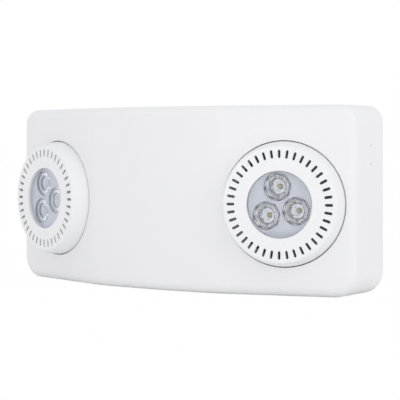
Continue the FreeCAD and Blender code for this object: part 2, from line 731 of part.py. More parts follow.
def make_front_cover():
    cover = new_body("front_cover")
    seam = size.plate_edge + size.fit_clearance
    sketch = new_sketch(cover, "cover_outline", "XZ_Plane", seam)
    rounded_outline(
        sketch, half_width, half_height, size.corner_radius_top, size.corner_radius_bottom)
    reach = crease_depth + size.middle_rise
    block = pad(cover, sketch, "block", reach)

    # bowed middle between two flat facets
    sketch = new_sketch(cover, "front_profile", "XY_Plane")
    half, rise = middle_half_width, size.middle_rise
    bow_radius = (half * half + rise * rise) / (rise * 2)
    past = half_width + size.end_depth
    past_depth = size.end_depth - size.end_depth * facet_slope
    beyond = reach + seam + size.end_depth
    corners = [
        (-past, -past_depth), (-half, -crease_depth), (half, -crease_depth),
        (past, -past_depth), (past, -beyond), (-past, -beyond)]
    outline(sketch, corners, {1: (bow_radius, 1)})
    front = pocket(cover, sketch, "front_shape", size.housing_height * 2, both_ways=True)

    def on_crease(edge, middle):
        at_crease = abs(abs(middle.x) - half.value) < 0.5
        return at_crease and abs(middle.z) < 1 and middle.y < -size.end_depth.value

    creases = edges_where(front.Shape, on_crease)
    creased = round_edges(cover, front, "crease_rounding", creases, size.crease_radius)

    def on_front_rim(edge, middle):
        at_top = abs(middle.z - half_height.value) < 0.01
        return at_top and abs(middle.x) < 1 and middle.y < -size.end_depth.value

    rim = edges_where(creased.Shape, on_front_rim)
    rounded = round_edges(cover, creased, "front_rounding", rim, size.front_edge_radius)
    rear = ["Face%d" % number for number, face in enumerate(rounded.Shape.Faces, start=1)
            if abs(face.CenterOfMass.y + seam.value) < 0.001]
    shell = cover.newObject("PartDesign::Thickness", "shell")
    shell.Base = (rounded, rear)
    shell.setExpression("Value", size.cover_wall.text)
    shell.Reversed = True
    doc.recompute()

    for side in (-1, 1):
        make_head_seat(cover, side)
    make_ledges(cover)
    make_cover_holes(cover)
    return cover


def make_head_seat(cover, side):
    root_station = -size.cover_wall * 0.9
    sketch = facet_sketch(cover, "guide_outline", side, root_station)
    circle(sketch, 0, 0, guide_radius)
    circle(sketch, 0, 0, guide_radius + size.guide_wall)
    pad(cover, sketch, "guide", root_station - guide_back, reverse=True)

    sketch = facet_sketch(cover, "boss_outline", side, root_station)
    x = size.ear_ring_radius * cosine(size.ear_angle)
    y = size.ear_ring_radius * sine(size.ear_angle)
    circle(sketch, x, y, size.boss_radius)
    boss = pad(cover, sketch, "boss", root_station - retainer_front, reverse=True)
    repeat_round(cover, [boss], "bosses", size.ear_count, (sketch, ["N_Axis"]))

    sketch = facet_sketch(cover, "pilot_outline", side, retainer_front)
    circle(sketch, x, y, size.screw_radius + size.screw_play)
    pilot = pocket(cover, sketch, "pilot", size.screw_depth + size.screw_tip_room, reverse=True)
    repeat_round(cover, [pilot], "pilots", size.ear_count, (sketch, ["N_Axis"]))

    sketch = facet_sketch(cover, "hole_outline", side, ZERO)
    circle(sketch, 0, 0, size.head_hole_radius)
    pocket(cover, sketch, "head_hole", size.cover_wall * 2, both_ways=False)


def make_ledges(cover):
    far = inner_half_height + size.cover_wall / 2
    near = inner_half_height - size.ledge_rise
    front = size.ledge_depth + size.ledge_thickness
    for side in (-1, 1):
        for level in (-1, 1):
            sketch = new_sketch(cover, "ledge_profile", "YZ_Plane", side * size.hook_x)
            corners = [
                (-size.ledge_depth, level * near), (-size.ledge_depth, level * far),
                (-front, level * far), (-front, level * near)]
            outline(sketch, corners)
            pad(cover, sketch, "ledge", size.hook_width, both_ways=True)


def make_cover_holes(cover):
    sketch = new_sketch(cover, "underside_holes", "XY_Plane", -half_height)
    circle(sketch, size.button_x, -size.button_depth, size.button_radius + size.button_play)
    circle(sketch, size.indicator_x, -size.button_depth,
           size.indicator_radius + size.fit_clearance)
    pocket(cover, sketch, "underside", size.cover_wall * 2, both_ways=False, reverse=True)
    sketch = new_sketch(cover, "end_holes", "YZ_Plane", half_width)
    circle(sketch, -size.side_hole_depth, size.side_hole_z, size.side_hole_radius)
    circle(sketch, -size.side_hole_depth, size.side_hole_z - size.side_hole_pitch,
           size.side_hole_radius)
    pocket(cover, sketch, "pin_holes", size.cover_wall * 2)


# Head and its swivel
def make_retainer_ring(label):
    ring = new_body(label)
    inner = size.ring_outer_radius + size.guide_play
    sketch = new_sketch(ring, "ring_outline", "XZ_Plane", retainer_back)
    circle(sketch, 0, 0, inner)
    circle(sketch, 0, 0, inner + size.retainer_band)
    pad(ring, sketch, "band", size.retainer_thickness)
    x = size.ear_ring_radius * cosine(size.ear_angle)
    y = size.ear_ring_radius * sine(size.ear_angle)
    sketch = new_sketch(ring, "ear_outline", "XZ_Plane", retainer_back)
    circle(sketch, x, y, size.ear_radius)
    ear = pad(ring, sketch, "ear", size.retainer_thickness)
    repeat_round(ring, [ear], "ears", size.ear_count, (sketch, ["N_Axis"]))
    sketch = new_sketch(ring, "hole_outline", "XZ_Plane", retainer_front)
    circle(sketch, x, y, size.screw_radius + size.fit_clearance)
    hole = pocket(ring, sketch, "hole", size.retainer_thickness)
    repeat_round(ring, [hole], "holes", size.ear_count, (sketch, ["N_Axis"]))
    return ring


def make_washer(label):
    inner = size.ring_outer_radius + size.guide_play
    return turned_body(label, [
        (inner, washer_front), (size.flange_radius, washer_front),
        (size.flange_radius, retainer_front), (inner, retainer_front)])


def make_screws(label, places, length, direction):
    # a group of like screws: shank from its place along the direction, head behind it
    solids = []
    for place in places:
        shank = doc.addObject("Part::Cylinder", "shank")
        shank.setExpression("Radius", size.screw_radius.text)
        shank.setExpression("Height", length.text)
        head = doc.addObject("Part::Cylinder", "screw_head")
        head.setExpression("Radius", size.screw_head_radius.text)
        head.setExpression("Height", size.screw_head_height.text)
        top = VECTOR(*place)
        into = VECTOR(*direction)
        turn = FreeCAD.Rotation(UP, into)
        shank.Placement = FreeCAD.Placement(top, turn)
        head.Placement = FreeCAD.Placement(top - into * size.screw_head_height.value, turn)
        screw = doc.addObject("Part::MultiFuse", "screw")
        screw.Shapes = [shank, head]
        solids.append(screw)
    group = doc.addObject("Part::Compound", label)
    group.Label = label
    group.Links = solids
    return group


def make_ring_screws(label):
    places = []
    for number in range(int(size.ear_count.value)):
        angle = math.radians(size.ear_angle.value + 360 * number / size.ear_count.value)
        radius = size.ear_ring_radius.value
        places.append((radius * math.cos(angle), -retainer_back.value,
                       radius * math.sin(angle)))
    length = size.retainer_thickness + size.screw_depth
    return make_screws(label, places, length, (0, -1, 0))


def make_swivel_ring(label):
    cavity = size.ball_radius + size.ring_play
    front_radius = leg(cavity, ring_front - ball_middle)
    back_radius = leg(cavity, ball_middle - ring_back)
    outer = size.ring_outer_radius
    ring = turned_body(label, [
        (front_radius, ring_front), (outer, ring_front), (outer, flange_front),
        (size.flange_radius, flange_front), (size.flange_radius, flange_back),
        (outer, flange_back), (outer, ring_back), (back_radius, ring_back)],
        {7: (cavity, -1)})
    sketch = new_sketch(ring, "pivot_outline", "YZ_Plane")
    circle(sketch, -ball_middle, 0, size.pivot_radius)
    pocket(ring, sketch, "pivot_bores", size.flange_radius * 3, both_ways=True)
    return ring


def make_pivot_pins(label):
    inner_end = size.ball_radius - size.ball_wall - size.pivot_boss_depth
    length = size.ring_outer_radius - size.fit_clearance - inner_end
    pins = []
    for side in (-1, 1):
        pin = doc.addObject("Part::Cylinder", "pin")
        pin.setExpression("Radius", size.pivot_radius.text)
        pin.setExpression("Height", length.text)
        start = VECTOR(side * inner_end.value, -ball_middle.value, 0)
        pin.Placement = FreeCAD.Placement(start, FreeCAD.Rotation(UP, VECTOR(side, 0, 0)))
        pins.append(pin)
    group = doc.addObject("Part::Compound", label)
    group.Label = label
    group.Links = pins
    return group


def make_head_shell(label):
    ball, inner = size.ball_radius, size.ball_radius - size.ball_wall
    centre = ball_middle
    back = centre - size.ball_back_depth
    sleeve_back = face_back - size.sleeve_length
    sleeve_out = sleeve_radius + size.sleeve_wall
    groove = sleeve_radius + size.clip_groove_depth
    groove_front = rim_back + size.fit_clearance
    groove_back = rim_back - size.clip_thickness - size.fit_clearance * 2
    edge = size.face_edge_radius
    edge_height = size.face_height - centre - edge
    face_radius = leg(ball - edge, edge_height)
    grow = ball / (ball - edge)
    shell = turned_body(label, [
        (size.window_radius, size.face_height),
        (face_radius, size.face_height),
        (face_radius * grow, centre + edge_height * grow),
        (leg(ball, size.ball_back_depth), back),
        (leg(inner, size.ball_back_depth), back),
        (leg(inner, face_back - centre), face_back),
        (sleeve_out, face_back), (sleeve_out, sleeve_back),
        (sleeve_radius, sleeve_back), (sleeve_radius, groove_back),
        (groove, groove_back), (groove, groove_front),
        (sleeve_radius, groove_front), (sleeve_radius, face_back),
        (size.window_radius, face_back)],
        {1: (edge, 1), 2: (ball, 1), 4: (inner, -1)})

    boss_start = inner - size.pivot_boss_depth
    boss_length = size.pivot_boss_depth + size.ball_wall / 2
    for side in (-1, 1):
        sketch = new_sketch(shell, "pivot_boss_outline", "YZ_Plane", side * boss_start)
        circle(sketch, -ball_middle, 0, size.pivot_boss_radius)
        pad(shell, sketch, "pivot_boss", boss_length, reverse=side < 0)
    sketch = new_sketch(shell, "pivot_outline", "YZ_Plane")
    circle(sketch, -ball_middle, 0, size.pivot_radius + size.pivot_play)
    pocket(shell, sketch, "pivot_bores", ball * 3, both_ways=True)

    half_run = size.vent_length / 2 - size.vent_width / 2
    sketch = new_sketch(shell, "vent_outline", "XZ_Plane", size.face_height)
    slot(sketch, (0, size.vent_ring_radius - half_run),
         (0, size.vent_ring_radius + half_run), size.vent_width / 2)
    vent = pocket(shell, sketch, "vent", size.face_wall)
    repeat_round(shell, [vent], "vents", size.vent_count, (sketch, ["N_Axis"]))
    sketch = new_sketch(shell, "pip_outline", "XZ_Plane", size.face_height)
    circle(sketch, size.pip_ring_radius * cosine(size.pip_turn),
           size.pip_ring_radius * sine(size.pip_turn), size.pip_radius)
    pip = pocket(shell, sketch, "pip", size.pip_depth)
    repeat_round(shell, [pip], "pips", size.pip_count, (sketch, ["N_Axis"]))
    return shell


def make_lamp_clip(label):
    clip = new_body(label)
    inner = size.lamp_body_radius + size.fit_clearance
    outer = sleeve_radius + size.clip_groove_depth - size.fit_clearance * 2
    sketch = new_sketch(clip, "clip_outline", "XZ_Plane",
                        rim_back - size.clip_thickness - size.fit_clearance / 2)
    circle(sketch, 0, 0, inner)
    circle(sketch, 0, 0, outer)
    pad(clip, sketch, "clip_ring", size.clip_thickness)
    sketch = new_sketch(clip, "gap_outline", "XZ_Plane", rim_back)
    rectangle(sketch, -size.clip_gap / 2, -outer - size.clip_gap,
              size.clip_gap / 2, -inner / 2)
    pocket(clip, sketch, "clip_opening", size.clip_thickness * 2)
    return clip


def make_lamp_body(label):
    cup_floor = board_front - size.lamp_board_thickness
    seat_radius = size.lens_plate_radius + size.fit_clearance
    body = turned_body(label, [
        (seat_radius, lamp_front), (size.lamp_rim_radius, lamp_front),
        (size.lamp_rim_radius, rim_back), (size.lamp_body_radius, rim_back),
        (size.lamp_body_radius, barrel_back), (size.lamp_taper_radius, taper_back),
        (size.lamp_neck_radius, neck_front), (size.lamp_neck_radius, cap_back),
        (ZERO, cap_back), (ZERO, cup_floor), (size.cup_radius, cup_floor),
        (size.cup_radius, lens_seat), (seat_radius, lens_seat)])
    sketch = new_sketch(body, "groove_outline", "XY_Plane")
    outline(sketch, [
        (size.lamp_body_radius - size.fin_groove_depth, -barrel_back),
        (size.lamp_rim_radius, -barrel_back),
        (size.lamp_rim_radius, -taper_back),
        (size.lamp_taper_radius - size.fin_groove_depth / 2, -taper_back)])
    groove = pocket(body, sketch, "groove", size.fin_groove_width, both_ways=True)
    repeat_round(body, [groove], "grooves", size.fin_count,
                 (origin_feature(body, "Y_Axis"), [""]))
    sketch = new_sketch(body, "contact_outline", "XZ_Plane", cap_back)
    for side in (-1, 1):
        circle(sketch, side * size.contact_half_spacing, 0, size.contact_radius)
    pocket(body, sketch, "contact_holes", size.contact_root, reverse=True)
    return body


def make_lens_plate(label):
    plate_front = lamp_front - size.lens_plate_dish
    plate = turned_body(label, [
        (ZERO, lens_seat), (size.lens_plate_radius, lens_seat),
        (size.lens_plate_radius, lamp_front),
        (size.lens_plate_radius - size.lens_plate_rim, lamp_front),
        (size.lens_plate_radius - size.lens_plate_rim, plate_front), (ZERO, plate_front)])
    lens_front = plate_front + size.lens_proud
    lens_back = board_front + size.lens_board_gap
    well_top = lens_back + size.lens_well_depth
    sketch = new_sketch(plate, "lens_profile", "XY_Plane")
    bind_offset(sketch, x=size.lens_ring_radius)
    well, dome = size.lens_well_radius, size.lens_dome
    dome_radius = (well * well + dome * dome) / (dome * 2)
    outline(sketch, [
        (ZERO, -lens_front), (ZERO, dome - well_top), (well, -well_top),
        (well, -lens_back), (size.lens_back_radius, -lens_back),
        (size.lens_radius, -lens_seat), (size.lens_radius, -lens_front)],
        {1: (dome_radius, -1)})
    lens = revolve(plate, sketch, "lens")
    repeat_round(plate, [lens], "lenses", size.lens_count,
                 (origin_feature(plate, "Y_Axis"), [""]))
    return plate


def make_lamp_board(label):
    back = board_front - size.lamp_board_thickness
    return turned_body(label, [
        (ZERO, back), (size.lamp_board_radius, back),
        (size.lamp_board_radius, board_front), (ZERO, board_front)])


def make_emitters(label):
    solids = []
    for number in range(int(size.lens_count.value)):
        angle = math.radians(360 * number / size.lens_count.value)
        middle = VECTOR(size.lens_ring_radius.value * math.cos(angle),
                        -board_front.value,
                        size.lens_ring_radius.value * math.sin(angle))
        half = size.emitter_size.value / 2
        base = doc.addObject("Part::Box", "emitter_base")
        base.setExpression("Length", size.emitter_size.text)
        base.setExpression("Width", size.emitter_height.text)
        base.setExpression("Height", size.emitter_size.text)
        corner = middle - VECTOR(half, size.emitter_height.value, half)
        base.Placement.Base = corner
        dome = doc.addObject("Part::Sphere", "emitter_dome")
        dome.setExpression("Radius", size.emitter_dome_radius.text)
        dome.Placement.Base = middle - VECTOR(0, size.emitter_height.value, 0)
        cap = doc.addObject("Part::MultiFuse", "emitter")
        cap.Shapes = [base, dome]
        solids.append(trim_behind(cap, middle))
    group = doc.addObject("Part::Compound", label)
    group.Label = label
    group.Links = solids
    return group


def trim_behind(piece, seat):
    # what lies behind the seat plane is cut away
    side = size.emitter_size * 4
    tool = doc.addObject("Part::Box", "behind_board")
    for name in ("Length", "Width", "Height"):
        tool.setExpression(name, side.text)
    tool.Placement.Base = seat - VECTOR(side.value / 2, 0, side.value / 2)
    cut = doc.addObject("Part::Cut", "emitter_cut")
    cut.Base = piece
    cut.Tool = tool
    return cut


def make_contacts(label):
    length = size.contact_root + size.contact_length
    pins = []
    for side in (-1, 1):
        pin = doc.addObject("Part::Cylinder", "contact")
        pin.setExpression("Radius", size.contact_radius.text)
        pin.setExpression("Height", length.text)
        start = VECTOR(side * size.contact_half_spacing.value,
                       -(cap_back + size.contact_root).value, 0)
        pin.Placement = FreeCAD.Placement(start, FreeCAD.Rotation(UP, VECTOR(0, 1, 0)))
        pins.append(pin)
    group = doc.addObject("Part::Compound", label)
    group.Label = label
    group.Links = pins
    return group


def make_lamp_holder(label):
    holder = new_body(label)
    half_run = size.holder_width / 2 - size.holder_height / 2
    sketch = new_sketch(holder, "holder_outline", "XZ_Plane", holder_front)
    slot(sketch, (-half_run, 0), (half_run, 0), size.holder_height / 2)
    pad(holder, sketch, "block", size.holder_length, reverse=True)
    sketch = new_sketch(holder, "contact_outline", "XZ_Plane", holder_front)
    for side in (-1, 1):
        circle(sketch, side * size.contact_half_spacing, 0,
               size.contact_radius + size.fit_clearance)
    pocket(holder, sketch, "contact_holes", size.contact_length + size.screw_tip_room)
    return holder


# Electrical parts on the back plate
def make_battery_pack():
    pack = new_body("battery_pack")
    middle = battery_back + size.cell_radius
    run = battery_half_width - size.cell_radius
    sketch = new_sketch(pack, "wrap_outline", "XY_Plane", battery_bottom)
    slot(sketch, (-run, -middle), (run, -middle), size.cell_radius)
    pad(pack, sketch, "wrap", size.cell_length)
    sketch = new_sketch(pack, "cap_outline", "XY_Plane",
                        battery_bottom + size.cell_length)
    circle(sketch, -run, -middle, size.cell_end_radius)
    cap = pad(pack, sketch, "cell_cap", size.cell_end_height)
    repeat_along(pack, [cap], "cell_caps", size.cell_count,
                 (origin_feature(pack, "X_Axis"), [""]), run * 2)
    return pack


def make_battery_strap():
    strap = new_body("battery_strap")
    inner, outer = strap_inner, strap_inner + size.strap_thickness
    foot = strap_inner + size.strap_thickness + size.strap_foot
    seat_top = strap_seat + size.strap_thickness
    over = strap_top + size.strap_thickness
    sketch = new_sketch(strap, "strap_profile", "XY_Plane", battery_middle)
    outline(sketch, [
        (-foot, -strap_seat), (-inner, -strap_seat), (-inner, -strap_top),
        (inner, -strap_top), (inner, -strap_seat), (foot, -strap_seat),
        (foot, -seat_top), (outer, -seat_top), (outer, -over),
        (-outer, -over), (-outer, -seat_top), (-foot, -seat_top)])
    pad(strap, sketch, "band", size.strap_width, both_ways=True)
    sketch = new_sketch(strap, "foot_holes", "XZ_Plane", seat_top)
    for x, z in strap_screw_places():
        circle(sketch, x, z, size.screw_radius + size.fit_clearance)
    pocket(strap, sketch, "holes", size.strap_thickness)
    return strap


def make_circuit_board():
    board = new_body("circuit_board")
    sketch = new_sketch(board, "board_outline", "XZ_Plane", standoff_top)
    rectangle(sketch, -size.board_half_width, board_bottom,
              size.board_half_width, board_top)
    pad(board, sketch, "board", size.board_thickness)
    sketch = new_sketch(board, "hole_outline", "XZ_Plane", board_face)
    for x, z in board_screw_places():
        circle(sketch, x, z, size.screw_radius + size.fit_clearance)
    pocket(board, sketch, "holes", size.board_thickness)
    return board


def make_transformer():
    # laminated core with its winding standing out in front and behind
    part = new_body("transformer")
    half_w, half_h = size.core_width / 2, size.core_height / 2
    x, z = size.transformer_x, board_bottom + size.transformer_rise
    sketch = new_sketch(part, "core_outline", "XZ_Plane", board_face + size.pin_height)
    rectangle(sketch, x - half_w, z - half_h, x + half_w, z + half_h)
    pad(part, sketch, "core", size.core_depth)
    sketch = new_sketch(part, "coil_outline", "XZ_Plane", board_face)
    half = size.coil_width / 2
    rectangle(sketch, x - half, z - half, x + half, z + half)
    pad(part, sketch, "coil", size.coil_depth)
    return part


def make_relay():
    part = new_body("relay")
    half_w, half_h = size.relay_width / 2, size.relay_height / 2
    x, z = size.relay_x, board_bottom + size.relay_rise
    sketch = new_sketch(part, "relay_outline", "XZ_Plane", board_face)
    rectangle(sketch, x - half_w, z - half_h, x + half_w, z + half_h)
    pad(part, sketch, "case", size.relay_depth)
    return part


def make_capacitors():
    cans = []
    for number in range(2):
        can = doc.addObject("Part::Cylinder", "can")
        can.setExpression("Radius", size.capacitor_radius.text)
        can.setExpression("Height", size.capacitor_length.text)
        x = size.capacitor_x.value + number * size.capacitor_pitch.value
        base = VECTOR(x, -board_face.value, (board_bottom + size.capacitor_rise).value)
        can.Placement = FreeCAD.Placement(base, FreeCAD.Rotation(UP, VECTOR(0, -1, 0)))
        cans.append(can)
    group = doc.addObject("Part::Compound", "capacitors")
    group.Label = "capacitors"
    group.Links = cans
    return group


def make_terminal_block():
    part = new_body("terminal_block")
    half_w, half_h = size.terminal_width / 2, size.terminal_height / 2
    x, z = size.terminal_x, board_bottom + size.terminal_rise
    sketch = new_sketch(part, "block_outline", "XZ_Plane", board_face)
    rectangle(sketch, x - half_w, z - half_h, x + half_w, z + half_h)
    pad(part, sketch, "block", size.terminal_depth)
    pitch = size.terminal_width / size.terminal_count
    sketch = new_sketch(part, "entry_outline", "XY_Plane", z + half_h)
    circle(sketch, x - half_w + pitch / 2, -board_face - size.terminal_depth / 2,
           size.terminal_hole_radius)
    entry = pocket(part, sketch, "entry", size.terminal_height * 0.7)
    repeat_along(part, [entry], "entries", size.terminal_count,
                 (origin_feature(part, "X_Axis"), [""]), size.terminal_width - pitch)
    return part


def make_test_switch():
    part = new_body("test_switch")
    half = size.switch_width / 2
    depth = (size.button_depth - board_face) + half
    sketch = new_sketch(part, "switch_outline", "XZ_Plane", board_face)
    rectangle(sketch, size.button_x - half, board_bottom,
              size.button_x + half, board_bottom + size.switch_height)
    pad(part, sketch, "case", depth)
    bore = size.plunger_length - size.plunger_reach + size.button_travel + size.tongue_clearance
    sketch = new_sketch(part, "bore_outline", "XY_Plane", board_bottom)
    circle(sketch, size.button_x, -size.button_depth, size.plunger_radius + size.plunger_play)
    pocket(part, sketch, "bore", bore, reverse=True)
    return part


def make_switch_plunger():
    part = new_body("switch_plunger")
    sketch = new_sketch(part, "plunger_outline", "XY_Plane",
                        board_bottom - size.plunger_reach)
    circle(sketch, size.button_x, -size.button_depth, size.plunger_radius)
    pad(part, sketch, "plunger", size.plunger_length)
    return part


def make_test_button():
    part = new_body("test_button")
    bottom = -half_height + size.button_recess
    flange = -inner_half_height + size.fit_clearance
    stem_top = board_bottom - size.plunger_reach
    levels = [
        ("cap", size.button_radius, bottom, flange - bottom),
        ("flange", size.button_flange_radius, flange, size.button_flange_height),
        ("stem", size.plunger_radius, flange, stem_top - flange),
    ]
    for name, radius, level, height in levels:
        sketch = new_sketch(part, name + "_outline", "XY_Plane", level)
        circle(sketch, size.button_x, -size.button_depth, radius)
        pad(part, sketch, name, height)
    return part


def make_status_led():
    part = new_body("status_led")
    half = size.indicator_base / 2
    depth = size.button_depth - board_face + half
    sketch = new_sketch(part, "base_outline", "XZ_Plane", board_face)
    rectangle(sketch, size.indicator_x - half, board_bottom,
              size.indicator_x + half, board_bottom + size.indicator_base)
    pad(part, sketch, "base", depth)
    bottom = -half_height + size.button_recess
    sketch = new_sketch(part, "lens_outline", "XY_Plane", bottom)
    circle(sketch, size.indicator_x, -size.button_depth, size.indicator_radius)
    pad(part, sketch, "lens", board_bottom - bottom)
    return part


# Build every piece
pieces = [
    make_back_plate(),
    make_front_cover(),
    make_battery_pack(),
    make_battery_strap(),
    make_circuit_board(),
    make_transformer(),
    make_relay(),
    make_capacitors(),
    make_terminal_block(),
    make_test_switch(),
    make_switch_plunger(),
    make_test_button(),
    make_status_led(),
]
pieces.append(make_screws(
    "strap_screws",
    [(x.value, -(strap_seat + size.strap_thickness).value, z.value)
     for x, z in strap_screw_places()],
    size.strap_thickness + size.strap_boss_height - size.screw_tip_room, (0, 1, 0)))
pieces.append(make_screws(
    "board_screws",
    [(x.value, -board_face.value, z.value) for x, z in board_screw_places()],
    size.board_thickness + size.board_standoff - size.screw_tip_room, (0, 1, 0)))

for side, name in ((-1, "left"), (1, "right")):
    turn = size.lamp_turn_left if side < 0 else size.lamp_turn_right
    fixed = [
        make_retainer_ring("retainer_ring_" + name),
        make_washer("friction_washer_" + name),
        make_ring_screws("ring_screws_" + name),
        make_swivel_ring("swivel_ring_" + name),
        make_pivot_pins("pivot_pins_" + name),
        make_head_shell("head_shell_" + name),
        make_lamp_clip("lamp_clip_" + name),
    ]
    turned = [
        make_lamp_body("lamp_body_" + name),
        make_lens_plate("lens_plate_" + name),
        make_lamp_board("lamp_board_" + name),
        make_emitters("emitters_" + name),
        make_contacts("lamp_contacts_" + name),
        make_lamp_holder("lamp_holder_" + name),
    ]
    for piece in fixed:
        put_on_head(piece, side)
    for piece in turned:
        put_on_head(piece, side, turn.value)
    pieces += fixed + turned

doc.recompute()

# Check every object, then write one file per piece
for item in doc.Objects:
    if "Invalid" in item.State or "Error" in item.State:
        raise RuntimeError("%s (%s) failed: %s" % (item.Name, item.Label, item.State))
for piece in pieces:
    if piece.Shape.isNull() or not piece.Shape.isValid():
        raise RuntimeError("bad shape: %s" % piece.Label)

os.makedirs("parts", exist_ok=True)
for piece in pieces:
    piece.Shape.exportStep(os.path.join("parts", piece.Label + ".step"))
print("wrote %d pieces" % len(pieces))
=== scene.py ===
import math

import bmesh
import bpy
from mathutils import Matrix, Vector


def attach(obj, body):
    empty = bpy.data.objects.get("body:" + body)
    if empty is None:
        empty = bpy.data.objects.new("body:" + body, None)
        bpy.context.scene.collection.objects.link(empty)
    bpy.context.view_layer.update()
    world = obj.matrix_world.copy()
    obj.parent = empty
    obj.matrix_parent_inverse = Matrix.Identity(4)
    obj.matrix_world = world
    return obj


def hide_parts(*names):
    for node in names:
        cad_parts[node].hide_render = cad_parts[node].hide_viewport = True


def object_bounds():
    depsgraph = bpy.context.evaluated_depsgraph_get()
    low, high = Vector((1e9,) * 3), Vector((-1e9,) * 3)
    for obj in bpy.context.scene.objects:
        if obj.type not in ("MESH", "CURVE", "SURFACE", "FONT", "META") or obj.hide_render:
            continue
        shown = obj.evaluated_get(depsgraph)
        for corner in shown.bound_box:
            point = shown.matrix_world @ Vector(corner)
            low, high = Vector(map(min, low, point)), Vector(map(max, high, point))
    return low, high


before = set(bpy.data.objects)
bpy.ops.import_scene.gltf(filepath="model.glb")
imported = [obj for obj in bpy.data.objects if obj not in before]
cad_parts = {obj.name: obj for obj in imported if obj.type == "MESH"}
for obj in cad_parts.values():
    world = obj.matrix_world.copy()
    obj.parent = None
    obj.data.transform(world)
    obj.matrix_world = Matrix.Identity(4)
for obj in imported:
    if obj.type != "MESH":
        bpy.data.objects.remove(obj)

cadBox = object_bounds()
mm = 0.001  # the named sizes are in mm and the named turns in degrees, unless a comment says otherwise
sides = {"left": -1, "right": 1}
touch = 2e-6  # metres: a point this near counts as on a surface
weldReach = {"cad": 1e-6, "head": 2e-6, "lens": 3e-6}  # metres
crease = {"housing": 28, "head": 32, "lens": 14, "small": 30, "dome": 40}  # sharper edges stay sharp
outwards = Matrix.Rotation(math.pi / 2, 4, "X")  # from z outwards to the unit's -Y
print("frame loaded:", len(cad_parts), "nodes")


# short ways to make and wire nodes
def addNode(tree, kind, **settings):
    node = tree.nodes.new(kind)
    for name, value in settings.items():
        setattr(node, name, value)
    return node


def plug(tree, socket, value):  # a link from another socket, or a plain value
    if hasattr(value, "is_output"):
        tree.links.new(value, socket)
    else:
        socket.default_value = value


def feed(tree, node, **inputs):  # values or sockets by input name, with _ for a blank
    for name, value in inputs.items():
        plug(tree, node.inputs[name.replace("_", " ")], value)
    return node


def calc(tree, operation, first, second):
    node = addNode(tree, "ShaderNodeMath", operation=operation)
    plug(tree, node.inputs[0], first)
    plug(tree, node.inputs[1], second)
    return node.outputs[0]


def alongZ(tree, value):  # a vector with only its z given
    return feed(tree, addNode(tree, "ShaderNodeCombineXYZ"), Z=value).outputs[0]


def newMaterial(name):
    material = bpy.data.materials.new(name)
    material.use_nodes = True
    tree = material.node_tree
    return material, tree, tree.nodes["Principled BSDF"]


def objectCoords(tree):
    return addNode(tree, "ShaderNodeTexCoord").outputs["Object"]


def faceValue(tree, name):  # what each face carries under this name
    return addNode(tree, "ShaderNodeAttribute", attribute_name=name).outputs["Fac"]


def noise(tree, coords, scale, detail=3.0):
    texture = addNode(tree, "ShaderNodeTexNoise")
    return feed(tree, texture, Vector=coords, Scale=scale, Detail=detail).outputs["Fac"]


def between(tree, value, low, high):  # a value from 0 to 1, spread over a range
    spread = addNode(tree, "ShaderNodeMapRange")
    return feed(tree, spread, Value=value, To_Min=low, To_Max=high).outputs["Result"]


def blend(tree, factor, first, second):
    mix = feed(tree, addNode(tree, "ShaderNodeMix", data_type="RGBA"), Factor=factor)
    colours = [socket for socket in mix.inputs if socket.type == "RGBA"]
    plug(tree, colours[0], first)
    plug(tree, colours[1], second)
    return next(socket for socket in mix.outputs if socket.type == "RGBA")


def tintNoise(tree, coords, scale, dark, light):  # a colour that wanders between two near tones
    ramp = addNode(tree, "ShaderNodeValToRGB")
    low, high = ramp.color_ramp.elements
    low.position, high.position = 0.3, 0.7
    low.color, high.color = (*dark, 1), (*light, 1)
    return feed(tree, ramp, Fac=noise(tree, coords, scale)).outputs["Color"]


def grainBump(tree, coords, scale, strength, depth):
    bump = addNode(tree, "ShaderNodeBump")
    height = noise(tree, coords, scale, detail=2.0)
    return feed(tree, bump, Strength=strength, Distance=depth, Height=height).outputs["Normal"]


# finishes: every one a node material with its own grain
plastic = {
    "roughPatch": 60, "roughSpread": 0.04, "bump": 0.12, "bumpDepth": 0.00002, "specular": 0.45,
    "glowTint": (0.92, 0.95, 1, 1),
}
metal = {"roughSpread": 0.08, "bump": 0.15, "bumpDepth": 0.00003}
acrylic = {
    # the near-black colour below is painted shade on the steep lens edges, standing in for dark surroundings
    # seen through them
    "clear": ((0.94, 0.96, 0.99), (0.955, 0.97, 0.995)), "clearPatch": 40, "paintedShade": (0.03, 0.035, 0.05, 1),
    "matt": ((0.69, 0.72, 0.79), (0.73, 0.76, 0.83)), "mattPatch": 130, "mattThrough": 0.1,
    "polish": 0.03, "frost": 0.24, "wave": 260, "bump": 0.05, "bumpDepth": 0.00004,
    # the faint bluish emission below is a painted glow in the lens plate
    "paintedGlow": 0.06, "paintedGlowTint": (0.86, 0.9, 1, 1), "refraction": 1.49,
}


def mouldedPlastic(name, dark, light, roughness, grain=2600, patch=14, paintedInnerGlow=0, glow=0):
    material, tree, shader = newMaterial(name)
    coords = objectCoords(tree)
    if paintedInnerGlow:  # painted glow on the inner faces, standing in for daylight that comes through the thin wall
        glow = calc(tree, "MULTIPLY", faceValue(tree, "inside"), paintedInnerGlow)
    rough = between(tree, noise(tree, coords, plastic["roughPatch"]),
                    roughness - plastic["roughSpread"], roughness + plastic["roughSpread"])
    feed(tree, shader, Base_Color=tintNoise(tree, coords, patch, dark, light), Roughness=rough,
         Normal=grainBump(tree, coords, grain, plastic["bump"], plastic["bumpDepth"]),
         Specular_IOR_Level=plastic["specular"], Emission_Color=plastic["glowTint"], Emission_Strength=glow)
    return material


def metalFinish(name, dark, light, roughness, brush=(1, 1, 1), grain=900):
    material, tree, shader = newMaterial(name)
    mapping = feed(tree, addNode(tree, "ShaderNodeMapping"), Vector=objectCoords(tree), Scale=brush)
    coords = mapping.outputs["Vector"]
    rough = between(tree, noise(tree, coords, grain / 3),
                    roughness - metal["roughSpread"], roughness + metal["roughSpread"])
    feed(tree, shader, Metallic=1.0, Base_Color=tintNoise(tree, coords, grain, dark, light), Roughness=rough,
         Normal=grainBump(tree, coords, grain, metal["bump"], metal["bumpDepth"]))
    return material


